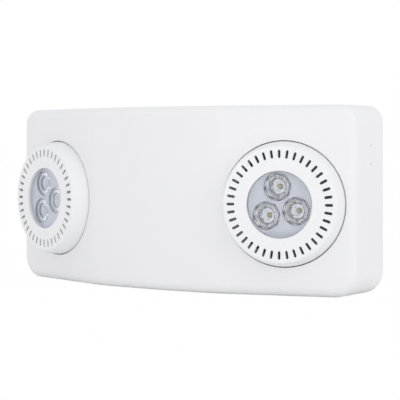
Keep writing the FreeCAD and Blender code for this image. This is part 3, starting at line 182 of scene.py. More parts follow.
def clearAcrylic(name):
    material, tree, shader = newMaterial(name)
    coords = objectCoords(tree)
    mirrored = faceValue(tree, "frost")  # 1 on the mirror walls of a lens
    # mask of the painted shade on the steep lens edges
    paintedShadeMask = faceValue(tree, "paintedShade")  # 1 on the steep edges of a lens
    matt = faceValue(tree, "matt")  # 1 on the frosted back of the flat
    paintedGlowMask = faceValue(tree, "paintedGlow")  # painted glow given off by the plate
    clear = tintNoise(tree, coords, acrylic["clearPatch"], *acrylic["clear"])
    tone = blend(tree, paintedShadeMask, clear, acrylic["paintedShade"])
    milky = tintNoise(tree, coords, acrylic["mattPatch"], *acrylic["matt"])
    feed(tree, shader, Base_Color=blend(tree, matt, tone, milky),
         Transmission_Weight=between(tree, matt, 1.0, acrylic["mattThrough"]),
         Roughness=between(tree, mirrored, acrylic["polish"], acrylic["frost"]),
         Normal=grainBump(tree, coords, acrylic["wave"], acrylic["bump"], acrylic["bumpDepth"]),
         Emission_Color=acrylic["paintedGlowTint"], Emission_Strength=between(tree, paintedGlowMask, 0.0, acrylic["paintedGlow"]),
         IOR=acrylic["refraction"])
    return material


finishes = {
    "housingWhite": mouldedPlastic("housing white", (0.838, 0.838, 0.848), (0.848, 0.848, 0.857), 0.5),
    # the head's inner faces get a painted glow, standing in for daylight through the thin wall
    "headWhite": mouldedPlastic("head white", (0.846, 0.848, 0.860), (0.856, 0.858, 0.869), 0.46, paintedInnerGlow=0.045),
    "innerGrey": mouldedPlastic("inner moulding", (0.30, 0.30, 0.31), (0.33, 0.33, 0.34), 0.6),
    "washerGrey": mouldedPlastic("washer fibre", (0.10, 0.10, 0.10), (0.14, 0.14, 0.14), 0.75, grain=1500),
    "lampWhite": mouldedPlastic("lamp body white", (0.78, 0.80, 0.85), (0.82, 0.84, 0.88), 0.35, grain=1600),
    "zincSteel": metalFinish("zinc steel", (0.60, 0.61, 0.63), (0.72, 0.73, 0.75), 0.32),
    "springSteel": metalFinish("spring steel", (0.45, 0.45, 0.47), (0.56, 0.56, 0.58), 0.3),
    "canAlu": metalFinish("capacitor can", (0.12, 0.12, 0.16), (0.18, 0.18, 0.22), 0.4),
    "contactBrass": metalFinish("contact brass", (0.70, 0.52, 0.24), (0.80, 0.62, 0.32), 0.3),
    "lens": clearAcrylic("lens acrylic"),
    # painted glow: the unlit lamp board gives off a little light of its own, brightening both windows
    "lampBoard": mouldedPlastic("lamp board white", (0.74, 0.76, 0.82), (0.78, 0.80, 0.86), 0.4,
                                grain=3500, glow=0.17),
    "phosphor": mouldedPlastic("emitter phosphor", (0.36, 0.34, 0.13), (0.44, 0.41, 0.16), 0.25,
                               grain=6000, patch=900),
    "emitterCase": mouldedPlastic("emitter case", (0.74, 0.75, 0.76), (0.80, 0.81, 0.82), 0.3,
                                  grain=6000, patch=700),
    "holder": mouldedPlastic("holder ceramic", (0.62, 0.60, 0.54), (0.72, 0.70, 0.64), 0.55,
                             grain=1800, patch=200),
    "batteryWrap": mouldedPlastic("battery wrap", (0.03, 0.20, 0.12), (0.04, 0.25, 0.15), 0.3,
                                  grain=500, patch=90),
    "boardGreen": mouldedPlastic("board green", (0.02, 0.12, 0.04), (0.03, 0.16, 0.06), 0.3,
                                 grain=2200, patch=260),
    "coreIron": metalFinish("core laminations", (0.14, 0.14, 0.16), (0.24, 0.24, 0.26), 0.5,
                            brush=(0.1, 4, 0.1)),
    "relayBlue": mouldedPlastic("relay case", (0.02, 0.06, 0.22), (0.03, 0.08, 0.28), 0.25),
    "terminalGreen": mouldedPlastic("terminal block", (0.04, 0.20, 0.07), (0.05, 0.26, 0.09), 0.4),
    "switchBlack": mouldedPlastic("switch case", (0.015, 0.015, 0.017), (0.03, 0.03, 0.032), 0.5),
    "buttonRed": mouldedPlastic("button red", (0.42, 0.02, 0.015), (0.50, 0.03, 0.02), 0.35),
    "indicatorRed": mouldedPlastic("indicator lens", (0.50, 0.02, 0.015), (0.58, 0.03, 0.02), 0.12),
}

nodeFinish = {
    "back_plate": "housingWhite", "front_cover": "housingWhite",
    "retainer_ring": "innerGrey", "friction_washer": "washerGrey", "ring_screws": "zincSteel",
    "battery_pack": "batteryWrap", "battery_strap": "zincSteel", "strap_screws": "zincSteel",
    "circuit_board": "boardGreen", "board_screws": "zincSteel", "transformer": "coreIron",
    "relay": "relayBlue", "capacitors": "canAlu", "terminal_block": "terminalGreen",
    "test_switch": "switchBlack", "status_led": "indicatorRed", "swivel_ring": "innerGrey",
    "pivot_pins": "zincSteel", "head_shell": "headWhite", "lamp_clip": "springSteel",
    "lamp_body": "lampWhite", "lens_plate": "lens", "lamp_board": "lampBoard",
    "emitters": "emitterCase", "lamp_contacts": "contactBrass", "lamp_holder": "holder",
    "test_button": "buttonRed", "switch_plunger": "switchBlack",
}


def setFinish(piece, finish):
    piece.data.materials.clear()
    piece.data.materials.append(finishes[finish])


for nodeName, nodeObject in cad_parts.items():
    base = nodeName.removesuffix("_left").removesuffix("_right")
    if not nodeObject.material_slots:
        nodeObject.data.materials.append(None)
    for materialSlot in nodeObject.material_slots:
        materialSlot.material = finishes[nodeFinish[base]]
print("finishes:", len(finishes))


# shapes: circles, creases, smooth copies and finished pieces
def circlePoints(count, radius, start=0):  # start in radians
    turns = [math.tau * k / count + start for k in range(count)]
    return [(radius * math.cos(turn), radius * math.sin(turn)) for turn in turns]


def isCrease(edge, angle):
    return len(edge.link_faces) == 2 and edge.calc_face_angle(0) > math.radians(angle)


def smoothCopy(nodeName, finish):  # a housing moulding with smooth rounded edges
    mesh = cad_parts[nodeName].data.copy()
    mesh.name = nodeName + "_skin"
    shape = bmesh.new()
    shape.from_mesh(mesh)
    bmesh.ops.remove_doubles(shape, verts=shape.verts, dist=weldReach["cad"])
    for face in shape.faces:
        face.smooth = True
    for edge in shape.edges:
        if isCrease(edge, crease["housing"]):
            edge.smooth = False
    shape.to_mesh(mesh)
    shape.free()
    piece = bpy.data.objects.new(nodeName + "_skin", mesh)
    bpy.context.scene.collection.objects.link(piece)
    setFinish(piece, finish)
    return piece


def finishShape(shape, piece, place, angle):  # place it, round it to the eye and store it
    bmesh.ops.transform(shape, matrix=place, verts=shape.verts)
    for face in shape.faces:
        face.smooth = True
    for edge in shape.edges:
        edge.smooth = not isCrease(edge, angle)
    shape.to_mesh(piece.data)
    shape.free()
    piece.data.update()


def emptyPiece(name):
    piece = bpy.data.objects.new(name, bpy.data.meshes.new(name))
    bpy.context.scene.collection.objects.link(piece)
    return piece


def storeBody(name, shape):  # a shape kept as it is, to be repeated by a tree
    piece = emptyPiece(name)
    shape.to_mesh(piece.data)
    shape.free()
    return piece


# head mouldings, each with its ring of slots
head = {
    "centreX": 104.0, "drop": 2.3, "facetDepth": 57.2973, "turn": 17.0,
    "ballRadius": 44.4, "ballWall": 2.0, "ballCentre": -5.0, "ballBack": 11.5,
    "faceHeight": 12.6, "faceWall": 2.0, "edgeRound": 1.2, "windowRadius": 23.6,
    "sleeveRadius": 25.6, "sleeveWall": 1.6, "sleeveLength": 10.0, "sleeveBevel": 0.3, "sleeveSink": 0.3,
    "slotCount": 40, "slotRing": 35.3, "slotLength": 5.9, "slotWidth": 2.0, "slotEndShare": 0.498,
    "slotEndSteps": 5,
    "openingRadius": 44.5, "openingEase": 0.35, "openingSlack": 0.02, "openingDepth": 4,
    "pipCount": 4, "pipRing": 28.2, "pipTurn": 9.2, "pipRadius": 0.62, "pipSides": 10,
    "pipDepth": 0.25, "pipCap": 0.3, "pipLap": 0.03,
    "roundSteps": 160, "edgeSteps": 5, "ballSteps": 26, "insideSteps": 20,
    "insideLap": 0.05, "sleeveClear": 0.2,
}
faceUnder = head["faceHeight"] - head["faceWall"]
edgeRise = head["faceHeight"] - head["ballCentre"] - head["edgeRound"]
flatRadius = math.sqrt((head["ballRadius"] - head["edgeRound"]) ** 2 - edgeRise ** 2)


def headPlace(side):  # from a head's own axes, outwards along -Y, to the unit
    place = Matrix.Translation(Vector((side * head["centreX"], -head["facetDepth"], -head["drop"])) * mm)
    return place @ Matrix.Rotation(math.radians(side * head["turn"]), 4, "Z")


def widenOpenings(cover):  # the edge of each head opening, eased so that the gap shows
    for side in sides.values():
        place = headPlace(side)
        for vert in cover.data.vertices:
            spot = place.inverted() @ vert.co
            reach = math.hypot(spot.x, spot.z)
            onEdge = abs(reach - head["openingRadius"] * mm) < head["openingSlack"] * mm
            if onEdge and abs(spot.y) < head["openingDepth"] * mm:
                grow = 1 + head["openingEase"] * mm / reach
                vert.co = place @ Vector((spot.x * grow, spot.y, spot.z * grow))


for nodeName in ("front_cover", "back_plate"):
    skin = smoothCopy(nodeName, "housingWhite")
    if nodeName == "front_cover":
        widenOpenings(skin)
    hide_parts(nodeName)
    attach(skin, "housing")
print("housing skins")


# node trees: how they start, what they share and how they end
def newTree(name, *sizes):  # a modifier tree with its named sizes
    tree = bpy.data.node_groups.new(name, "GeometryNodeTree")
    tree.is_modifier = True
    tree.interface.new_socket("Geometry", in_out="INPUT", socket_type="NodeSocketGeometry")
    tree.interface.new_socket("Geometry", in_out="OUTPUT", socket_type="NodeSocketGeometry")
    for sizeName, kind, value in sizes:
        socket = tree.interface.new_socket(sizeName, in_out="INPUT", socket_type=kind)
        socket.default_value = value
    return tree, addNode(tree, "NodeGroupInput"), addNode(tree, "NodeGroupOutput")


def joined(tree, *parts):
    join = addNode(tree, "GeometryNodeJoinGeometry")
    for part in parts:
        tree.links.new(part, join.inputs["Geometry"])
    return join.outputs["Geometry"]


def realized(tree, geometry):
    return feed(tree, addNode(tree, "GeometryNodeRealizeInstances"), Geometry=geometry).outputs["Geometry"]


def welded(tree, geometry, reach):
    merge = addNode(tree, "GeometryNodeMergeByDistance")
    return feed(tree, merge, Geometry=geometry, Distance=reach).outputs["Geometry"]


def circleCurve(tree, radius, steps):
    circle = addNode(tree, "GeometryNodeCurvePrimitiveCircle")
    return feed(tree, circle, Radius=radius, Resolution=steps).outputs["Curve"]


def ringPoints(tree, count, radius):  # points spread evenly on a circle
    return feed(tree, addNode(tree, "GeometryNodeMeshCircle"), Vertices=count, Radius=radius).outputs["Mesh"]


def ringTurns(tree, count):  # the turn of each of those points
    index = addNode(tree, "GeometryNodeInputIndex").outputs[0]
    return alongZ(tree, calc(tree, "DIVIDE", calc(tree, "MULTIPLY", index, math.tau), count))


def onPoints(tree, points, instance, turn=(0, 0, 0)):
    spread = addNode(tree, "GeometryNodeInstanceOnPoints")
    return feed(tree, spread, Points=points, Instance=instance, Rotation=turn).outputs["Instances"]


def moved(tree, geometry, **change):
    return feed(tree, addNode(tree, "GeometryNodeTransform"), Geometry=geometry, **change).outputs["Geometry"]


def bodyOf(tree, body):
    return feed(tree, addNode(tree, "GeometryNodeObjectInfo"), Object=body).outputs["Geometry"]


def endTree(tree, target, geometry, material):
    dressed = feed(tree, addNode(tree, "GeometryNodeSetMaterial"), Geometry=geometry, Material=material)
    tree.links.new(dressed.outputs["Geometry"], target.inputs["Geometry"])
    return tree


def grown(piece, tree, values):  # the modifier's result as a plain mesh
    modifier = piece.modifiers.new("grow", "NODES")
    modifier.node_group = tree
    for item in tree.interface.items_tree:
        if item.in_out == "INPUT" and item.name in values:
            modifier[item.identifier] = values[item.name]
    evaluated = piece.evaluated_get(bpy.context.evaluated_depsgraph_get())
    mesh = bpy.data.meshes.new_from_object(evaluated)
    piece.modifiers.remove(modifier)
    old = piece.data
    piece.data = mesh
    bpy.data.meshes.remove(old)


def facePlateTree(material):
    tree, source, target = newTree(
        "slotted face", ("Slot Count", "NodeSocketInt", 40), ("Slot Ring", "NodeSocketFloat", 0.035),
        ("Slot Length", "NodeSocketFloat", 0.006), ("Slot Width", "NodeSocketFloat", 0.002),
        ("Pip Ring", "NodeSocketFloat", 0.028), ("Pip Radius", "NodeSocketFloat", 0.0006),
        ("Pip Turn", "NodeSocketFloat", 0.16), ("Inner Radius", "NodeSocketFloat", 0.02),
        ("Outer Radius", "NodeSocketFloat", 0.04), ("Thickness", "NodeSocketFloat", 0.002))
    size = source.outputs
    oblong = feed(tree, addNode(tree, "GeometryNodeCurvePrimitiveQuadrilateral"),
                  Width=size["Slot Length"], Height=size["Slot Width"])
    slot = feed(tree, addNode(tree, "GeometryNodeFilletCurve", mode="POLY"), Curve=oblong.outputs["Curve"],
                Count=head["slotEndSteps"],
                Radius=calc(tree, "MULTIPLY", size["Slot Width"], head["slotEndShare"]))
    slots = onPoints(tree, ringPoints(tree, size["Slot Count"], size["Slot Ring"]), slot.outputs["Curve"],
                     ringTurns(tree, size["Slot Count"]))
    pips = onPoints(tree, ringPoints(tree, head["pipCount"], size["Pip Ring"]),
                    circleCurve(tree, size["Pip Radius"], head["pipSides"]))
    turnedPips = moved(tree, pips, Rotation=alongZ(tree, size["Pip Turn"]))
    outlines = joined(tree, realized(tree, slots), realized(tree, turnedPips),
                      circleCurve(tree, size["Inner Radius"], head["roundSteps"]),
                      circleCurve(tree, size["Outer Radius"], head["roundSteps"]))
    fill = feed(tree, addNode(tree, "GeometryNodeFillCurve"), Curve=outlines).outputs[0]
    raised = feed(tree, addNode(tree, "GeometryNodeExtrudeMesh"), Mesh=fill, Individual=False,
                  Offset=alongZ(tree, size["Thickness"]))
    under = feed(tree, addNode(tree, "GeometryNodeFlipFaces"), Mesh=fill)
    both = joined(tree, raised.outputs["Mesh"], under.outputs["Mesh"])
    return endTree(tree, target, realized(tree, welded(tree, both, weldReach["head"])), material)


def spinProfile(shape, corners, closed=True):  # (radius, height) corners turned round -Y
    rings = [[shape.verts.new((radius * x, -height * mm, radius * z)) for radius, height in corners]
             for x, z in circlePoints(head["roundSteps"], mm)]
    count = len(corners)
    for here, there in zip(rings, rings[1:] + rings[:1]):
        for index in range(count if closed else count - 1):
            following = (index + 1) % count
            shape.faces.new((here[index], here[following], there[following], there[index]))


def arcCorners(centre, radius, start, end, steps):  # points of an arc, (radius, height), in degrees
    turns = [math.radians(start + (end - start) * step / steps) for step in range(steps + 1)]
    return [(centre[0] + radius * math.cos(turn), centre[1] + radius * math.sin(turn)) for turn in turns]


def ballWallCorners():  # the ball-shaped side wall, rounded at the face and open at the back
    ball, inner = head["ballRadius"], head["ballRadius"] - head["ballWall"]
    middle, rounding = head["ballCentre"], head["edgeRound"]
    edgeTurn = math.degrees(math.atan2(edgeRise, flatRadius))
    edgeCentre = (flatRadius, head["faceHeight"] - rounding)
    outside = arcCorners(edgeCentre, rounding, 90, edgeTurn, head["edgeSteps"])
    backTurn = -math.degrees(math.asin(head["ballBack"] / ball))
    outside += arcCorners((0, middle), ball, edgeTurn, backTurn, head["ballSteps"])[1:]
    innerBack = -math.degrees(math.asin(head["ballBack"] / inner))
    innerTop = math.degrees(math.asin((faceUnder - middle) / inner))
    inside = arcCorners((0, middle), inner, innerBack, innerTop, head["insideSteps"])
    return outside + inside + [(flatRadius, faceUnder)]


def sleeveCorners():  # the sleeve that holds the lamp
    inner, outer = head["sleeveRadius"], head["sleeveRadius"] + head["sleeveWall"]
    high, low, bevel = faceUnder + head["sleeveSink"], faceUnder - head["sleeveLength"], head["sleeveBevel"]
    return [(inner, high), (outer, high), (outer, low + bevel), (outer - bevel, low), (inner + bevel, low),
            (inner, low + bevel)]


def closePips(shape):  # a floor in each of the pips, a little below the face, and a cap from behind
    floor, cap = head["faceHeight"] - head["pipDepth"], faceUnder + head["pipCap"]
    for midX, midZ in circlePoints(head["pipCount"], head["pipRing"], math.radians(head["pipTurn"])):
        for height, flip in ((floor, False), (cap, True)):
            outline = circlePoints(head["pipSides"], head["pipRadius"] + head["pipLap"])
            disc = [shape.verts.new(((midX + x) * mm, -height * mm, (midZ + z) * mm)) for x, z in outline]
            shape.faces.new(disc[::-1] if flip else disc)


def markPaintedGlowFaces(shape):  # the inner faces that get a painted glow, standing in for daylight through the wall
    inside = shape.faces.layers.float.new("inside")
    wallMiddle = head["ballRadius"] - head["ballWall"] / 2
    for face in shape.faces:
        centre = face.calc_center_median() / mm
        reach = math.hypot(centre.x, centre.z)
        fromMiddle = math.hypot(reach, -centre.y - head["ballCentre"])
        behindFace = -centre.y < faceUnder + head["insideLap"]
        offSleeve = reach > head["sleeveRadius"] + head["sleeveClear"]
        face[inside] = float(fromMiddle < wallMiddle and behindFace and offSleeve)


def headMoulding(name, side):
    piece = emptyPiece("head_moulding_" + name)
    grown(piece, facePlateTree(finishes["headWhite"]), {
        "Slot Count": head["slotCount"], "Slot Ring": head["slotRing"] * mm,
        "Slot Length": head["slotLength"] * mm, "Slot Width": head["slotWidth"] * mm,
        "Pip Ring": head["pipRing"] * mm, "Pip Radius": head["pipRadius"] * mm,
        "Pip Turn": math.radians(head["pipTurn"]),
        "Inner Radius": head["windowRadius"] * mm, "Outer Radius": flatRadius * mm,
        "Thickness": head["faceWall"] * mm})
    shape = bmesh.new()
    shape.from_mesh(piece.data)
    toFace = Matrix.Translation((0, -faceUnder * mm, 0)) @ outwards
    bmesh.ops.transform(shape, matrix=toFace, verts=shape.verts)
    rimOfFace = [face for face in shape.faces
                 if all(abs(math.hypot(v.co.x, v.co.z) - flatRadius * mm) < touch for v in face.verts)]
    bmesh.ops.delete(shape, geom=rimOfFace, context="FACES_ONLY")
    spinProfile(shape, ballWallCorners(), closed=False)
    spinProfile(shape, sleeveCorners())
    closePips(shape)
    bmesh.ops.remove_doubles(shape, verts=shape.verts, dist=weldReach["head"])
    bmesh.ops.recalc_face_normals(shape, faces=shape.faces)
    markPaintedGlowFaces(shape)
    finishShape(shape, piece, headPlace(side), crease["head"])
    setFinish(piece, "headWhite")
    return piece


for name, side in sides.items():
    moulding = headMoulding(name, side)
    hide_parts("head_shell_" + name)
    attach(moulding, "head_" + name)
print("head mouldings")


# lamps behind the windows: clear lens plate and the emitters under it
lens = {
    "count": 3, "ring": 12.5, "turn": {"left": 113.3, "right": 98.8},
    "plateFront": 9.95, "plateBack": 9.35, "plateRadius": 24.3,
    "rimWidth": 1.1, "rimFront": 10.55, "rimBevel": 0.1, "rimSteps": 96,
    "radius": 10.0, "bowlRadius": 9.8, "bowlDepth": 0.9,
    "recessRadius": 5.5, "recessDepth": 1.5, "recessDome": 0.35,
    "back": 1.0, "wellRadius": 3.5, "wellDepth": 3.4, "wellDome": 0.4, "focus": 2.0,
    "facets": 8, "steps": 48, "domeSteps": 6,
    # per lamp: strength of the painted shade on the lens edges, and of the painted glow in the plate (left
    # lamp only)
    "edge": {"left": 0.85, "right": 1.0}, "paintedGlow": {"left": 0.55, "right": 0.0},
    "pegCount": 3, "pegRing": 20.4, "pegRadius": 1.1, "pegFoot": 0.45, "pegTip": 0.8, "pegBevel": 0.4,
    "pegGap": 0.02, "pegSteps": 20,
}
bowlEdge = {"bevel": 0.12, "wallIn": 0.35, "wallFoot": 0.3, "ledgeIn": 0.45, "ledgeRise": 0.2, "facetIn": 1.0}
recessEdge = {
    "lipOut": 0.45, "roundOut": 0.1, "roundDrop": 0.2, "footIn": 0.2, "footRise": 0.15, "floorIn": 0.4,
}
wellEdge = {"wallOut": 0.6, "round": 0.2, "topDrop": 0.1, "domeIn": 0.3}
mirror = {"gap": 0.06, "clear": 0.3, "firstStep": 0.7, "step": 1.2}
# strength of the painted shade on each steep band of a lens
paintedBandShade = {
    "bowl": 1, "recessLip": 0.6, "recessWall": 0.7, "mirrorTop": 0.9, "mirror": 0.12, "mirrorFoot": 0.5,
}


def facetRadius(angle, flatness):  # pulls a circle towards a polygon with the lens's number of facets
    half = math.pi / lens["facets"]
    polygon = math.cos(half) / math.cos(angle % (2 * half) - half)
    return 1 + (polygon - 1) * flatness


def domeCorners(radius, low, height):
    turns = [math.pi / 2 * step / lens["domeSteps"] for step in range(lens["domeSteps"])]
    return [(radius * math.cos(turn), low + height * math.sin(turn), 0, 0) for turn in turns]


# each corner of a skin: radius, height, how far it is pulled to the polygon, painted shade of the band up to
# it
def frontSkin(bowl, floor):
    wide, narrow, dark = lens["bowlRadius"], lens["recessRadius"], paintedBandShade["bowl"]
    ledge = bowl + bowlEdge["ledgeRise"]
    return [(wide, lens["plateFront"], 0, 0),
            (wide - bowlEdge["bevel"], lens["plateFront"] - bowlEdge["bevel"], 0, dark),
            (wide - bowlEdge["wallIn"], bowl + bowlEdge["wallFoot"], 0, dark),
            (wide - bowlEdge["ledgeIn"], ledge, 0, 0),
            (wide - bowlEdge["ledgeIn"], ledge, 1, 0),
            (wide - bowlEdge["facetIn"], bowl, 1, dark),
            (narrow + recessEdge["lipOut"], bowl, 0, 0),
            (narrow + recessEdge["roundOut"], bowl - recessEdge["roundDrop"], 0, paintedBandShade["recessLip"]),
            (narrow - recessEdge["footIn"], floor + recessEdge["footRise"], 0, paintedBandShade["recessWall"]),
            *domeCorners(narrow - recessEdge["floorIn"], floor, lens["recessDome"])]


def backSkin(bowl, wellTop):  # its wall mirrors what lies straight in front onto the emitter
    corners = [(lens["radius"], lens["plateBack"], 0, 0)]
    reach, height = lens["radius"] - mirror["gap"], bowl
    while height > lens["back"] + mirror["clear"]:
        level = len(corners)
        corners.append((reach, height, 1, paintedBandShade["mirrorTop"] if level == 2 else paintedBandShade["mirror"]))
        slope = math.atan2(reach, height - lens["focus"]) / 2
        step = min(mirror["firstStep"] if level == 1 else mirror["step"], height - lens["back"])
        reach, height = reach - step * math.tan(slope), height - step
    well, bend = lens["wellRadius"], wellEdge["round"]
    corners += [(max(reach, well + wellEdge["wallOut"]), lens["back"], 1, paintedBandShade["mirrorFoot"]),
                (well + bend, lens["back"], 0, 0), (well, lens["back"] + bend, 0, 0),
                (well - bend, wellTop - wellEdge["topDrop"], 0, 0)]
    return corners + domeCorners(well - wellEdge["domeIn"], wellTop, -lens["wellDome"])


def lensBody(edge):  # one lens round its own axis: front skin and back skin, open at the plate
    bowl = lens["plateFront"] - lens["bowlDepth"]
    floor = bowl - lens["recessDepth"]
    wellTop = lens["back"] + lens["wellDepth"]
    shape = bmesh.new()
    frost = shape.faces.layers.float.new("frost")
    paintedShade = shape.faces.layers.float.new("paintedShade")
    for skin, pole in ((frontSkin(bowl, floor), floor + lens["recessDome"]),
                       (backSkin(bowl, wellTop), wellTop - lens["wellDome"])):
        rings = []
        for radius, height, flatness, _ in skin:
            ring = []
            for step in range(lens["steps"]):
                angle = math.tau * step / lens["steps"]
                reach = radius * facetRadius(angle, flatness) * mm
                ring.append(shape.verts.new((reach * math.cos(angle), reach * math.sin(angle), height * mm)))
            rings.append(ring)
        for level, (here, there) in enumerate(zip(rings, rings[1:])):
            faceted = level > 0 and skin[level][2] and skin[level + 1][2]
            for step in range(lens["steps"]):
                following = (step + 1) % lens["steps"]
                wall = shape.faces.new((here[step], here[following], there[following], there[step]))
                wall[frost] = 1.0 if faceted else 0.0
                # painted shade: a dark tint on the steep bands, a little weaker on the left lamp
                wall[paintedShade] = edge * skin[level + 1][3]
        top = shape.verts.new((0, 0, pole * mm))
        for step in range(lens["steps"]):
            shape.faces.new((rings[-1][step], rings[-1][(step + 1) % lens["steps"]], top))
    return storeBody("lens_body", shape)


def discWithHoles(tree, size, height, holeRadius):  # flat disc with a round hole where each lens sits
    rim = circleCurve(tree, size["Plate Radius"], lens["rimSteps"])
    holes = onPoints(tree, ringPoints(tree, size["Lens Count"], size["Lens Ring"]),
                     circleCurve(tree, holeRadius, lens["steps"]))
    outlines = joined(tree, realized(tree, holes), rim)
    fill = feed(tree, addNode(tree, "GeometryNodeFillCurve"), Curve=outlines)
    return moved(tree, fill.outputs[0], Translation=alongZ(tree, height))


def lensTree(body, material):
    tree, source, target = newTree(
        "lens cluster", ("Lens Count", "NodeSocketInt", 3), ("Lens Ring", "NodeSocketFloat", 0.0125),
        ("Lens Radius", "NodeSocketFloat", 0.01), ("Bowl Radius", "NodeSocketFloat", 0.0098),
        ("Plate Radius", "NodeSocketFloat", 0.0232),
        ("Plate Front", "NodeSocketFloat", 0.00995), ("Plate Back", "NodeSocketFloat", 0.00935))
    size = source.outputs
    lenses = onPoints(tree, ringPoints(tree, size["Lens Count"], size["Lens Ring"]), bodyOf(tree, body))
    cluster = joined(tree, discWithHoles(tree, size, size["Plate Front"], size["Bowl Radius"]),
                     discWithHoles(tree, size, size["Plate Back"], size["Lens Radius"]), lenses)
    return endTree(tree, target, welded(tree, realized(tree, cluster), weldReach["lens"]), material)


def onLamp(name, side):  # a lamp's own axes, z outwards and turned to its first lens, to the unit
    return headPlace(side) @ outwards @ Matrix.Rotation(math.radians(lens["turn"][name]), 4, "Z")


def plateRim(shape, inner):  # the raised rim of the plate
    outer, high, bevel = lens["plateRadius"], lens["rimFront"], lens["rimBevel"]
    corners = [(inner, lens["plateFront"]), (inner, high - bevel), (inner + bevel, high), (outer, high),
               (outer, lens["plateBack"]), (inner, lens["plateBack"])]
    rings = [[shape.verts.new((radius * x, radius * y, height * mm)) for radius, height in corners]
             for x, y in circlePoints(lens["rimSteps"], mm)]
    for here, there in zip(rings, rings[1:] + rings[:1]):
        for index in range(len(corners) - 1):
            shape.faces.new((here[index], here[index + 1], there[index + 1], there[index]))


def lensCluster(name, side, body):
    piece = emptyPiece("lens_cluster_" + name)
    inner = lens["plateRadius"] - lens["rimWidth"]
    grown(piece, lensTree(body, finishes["lens"]), {
        "Lens Count": lens["count"], "Lens Ring": lens["ring"] * mm, "Lens Radius": lens["radius"] * mm,
        "Bowl Radius": lens["bowlRadius"] * mm, "Plate Radius": inner * mm,
        "Plate Front": lens["plateFront"] * mm, "Plate Back": lens["plateBack"] * mm})
    shape = bmesh.new()
    shape.from_mesh(piece.data)
    plateRim(shape, inner)
    bmesh.ops.remove_doubles(shape, verts=shape.verts, dist=weldReach["lens"])
    bmesh.ops.recalc_face_normals(shape, faces=shape.faces)
    matt = shape.faces.layers.float.new("matt")
    paintedGlow = shape.faces.layers.float.new("paintedGlow")
    for face in shape.faces:
        face[matt] = float(all(abs(vert.co.z - lens["plateBack"] * mm) < touch for vert in face.verts))
        # painted glow given to the whole plate, on the left lamp only
        face[paintedGlow] = lens["paintedGlow"][name]
    openEdges = sum(1 for edge in shape.edges if len(edge.link_faces) != 2)
    print("lens cluster", name, "open edges:", openEdges, "volume mm3:", round(shape.calc_volume() / mm ** 3))
    finishShape(shape, piece, onLamp(name, side), crease["lens"])
    setFinish(piece, "lens")
    piece.visible_shadow = False  # clear plastic lets the lamps' light through
    return piece


def repeatTree(body, material):  # the body once on every point of the piece's own mesh
    tree, source, target = newTree("repeat " + body.name, ("Turn", "NodeSocketVector", (0, 0, 0)))
    points = feed(tree, addNode(tree, "GeometryNodeMeshToPoints"), Mesh=source.outputs["Geometry"])
    spread = onPoints(tree, points.outputs["Points"], bodyOf(tree, body), source.outputs["Turn"])
    return endTree(tree, target, realized(tree, spread), material)


def repeated(pieceName, places, body, finish, place, angle=crease["small"]):
    piece = emptyPiece(pieceName)
    piece.data.from_pydata([(x * mm, y * mm, 0) for x, y in places], [], [])
    grown(piece, repeatTree(body, finishes[finish]), {"Turn": (0, 0, 0)})
    shape = bmesh.new()
    shape.from_mesh(piece.data)
    finishShape(shape, piece, place, angle)
    setFinish(piece, finish)
    return piece


def turnedBody(name, corners, steps):  # closed at the axis when a corner has no radius
    shape = bmesh.new()
    rings = []
    for radius, height in corners:
        if radius == 0:
            rings.append([shape.verts.new((0, 0, height * mm))] * steps)
        else:
            rings.append([shape.verts.new((x, y, height * mm)) for x, y in circlePoints(steps, radius * mm)])
    for here, there in zip(rings, rings[1:]):
        for k in range(steps):
            following = (k + 1) % steps
            loop = []
            for vert in (here[k], here[following], there[following], there[k]):
                if vert not in loop:
                    loop.append(vert)
            if len(loop) > 2:
                shape.faces.new(loop)
    bmesh.ops.recalc_face_normals(shape, faces=shape.faces)
    return storeBody(name, shape)


emitter = {
    "side": 3.5, "height": 0.9, "corner": 0.35, "cornerSteps": 3, "boardFront": 0.45,
    "well": 1.68, "wellDepth": 0.3, "steps": 24,
    "domeRadius": 1.58, "domeSink": 0.28, "domeCollar": 0.3, "domeRise": 0.9, "domeAngles": range(12, 90, 13),
}


def emitterCase():  # square case with rounded corners and a round well for the phosphor
    shape = bmesh.new()
    half, cut = emitter["side"] / 2, emitter["corner"]
    outline = []
    for cx, cy, start in ((1, 1, 0), (-1, 1, 90), (-1, -1, 180), (1, -1, 270)):
        for step in range(emitter["cornerSteps"] + 1):
            angle = math.radians(start + step * 90 / emitter["cornerSteps"])
            x, y = cut * math.cos(angle), cut * math.sin(angle)
            outline.append((cx * (half - cut) + x, cy * (half - cut) + y))
    circle = circlePoints(emitter["steps"], emitter["well"])
    base, top = emitter["boardFront"], emitter["boardFront"] + emitter["height"]

    def ring(points, height):
        return [shape.verts.new((x * mm, y * mm, height * mm)) for x, y in points]

    def wall(low, high):
        for k in range(len(low)):
            shape.faces.new((low[k], low[(k + 1) % len(low)], high[(k + 1) % len(low)], high[k]))

    foot, shoulder = ring(outline, base), ring(outline, top)
    lip, floor = ring(circle, top), ring(circle, top - emitter["wellDepth"])
    wall(foot, shoulder)
    wall(lip, floor)
    edges = [edge for loop in (shoulder, lip) for edge in shape.edges
             if all(vert in loop for vert in edge.verts)]
    bmesh.ops.triangle_fill(shape, use_beauty=True, edges=edges)
    shape.faces.new(floor)
    shape.faces.new(foot)
    bmesh.ops.recalc_face_normals(shape, faces=shape.faces)
    return storeBody("emitter_case", shape)


def phosphorDome():
    radius, rise = emitter["domeRadius"], emitter["domeRadius"] * emitter["domeRise"]
    low = emitter["boardFront"] + emitter["height"] - emitter["domeSink"]
    collar = low + emitter["domeCollar"]
    turns = [math.radians(angle) for angle in emitter["domeAngles"]]
    corners = [(0, low), (radius, low), (radius, collar)]
    corners += [(radius * math.cos(turn), collar + rise * math.sin(turn)) for turn in turns]
    return turnedBody("phosphor_dome", corners + [(0, collar + rise)], emitter["steps"])


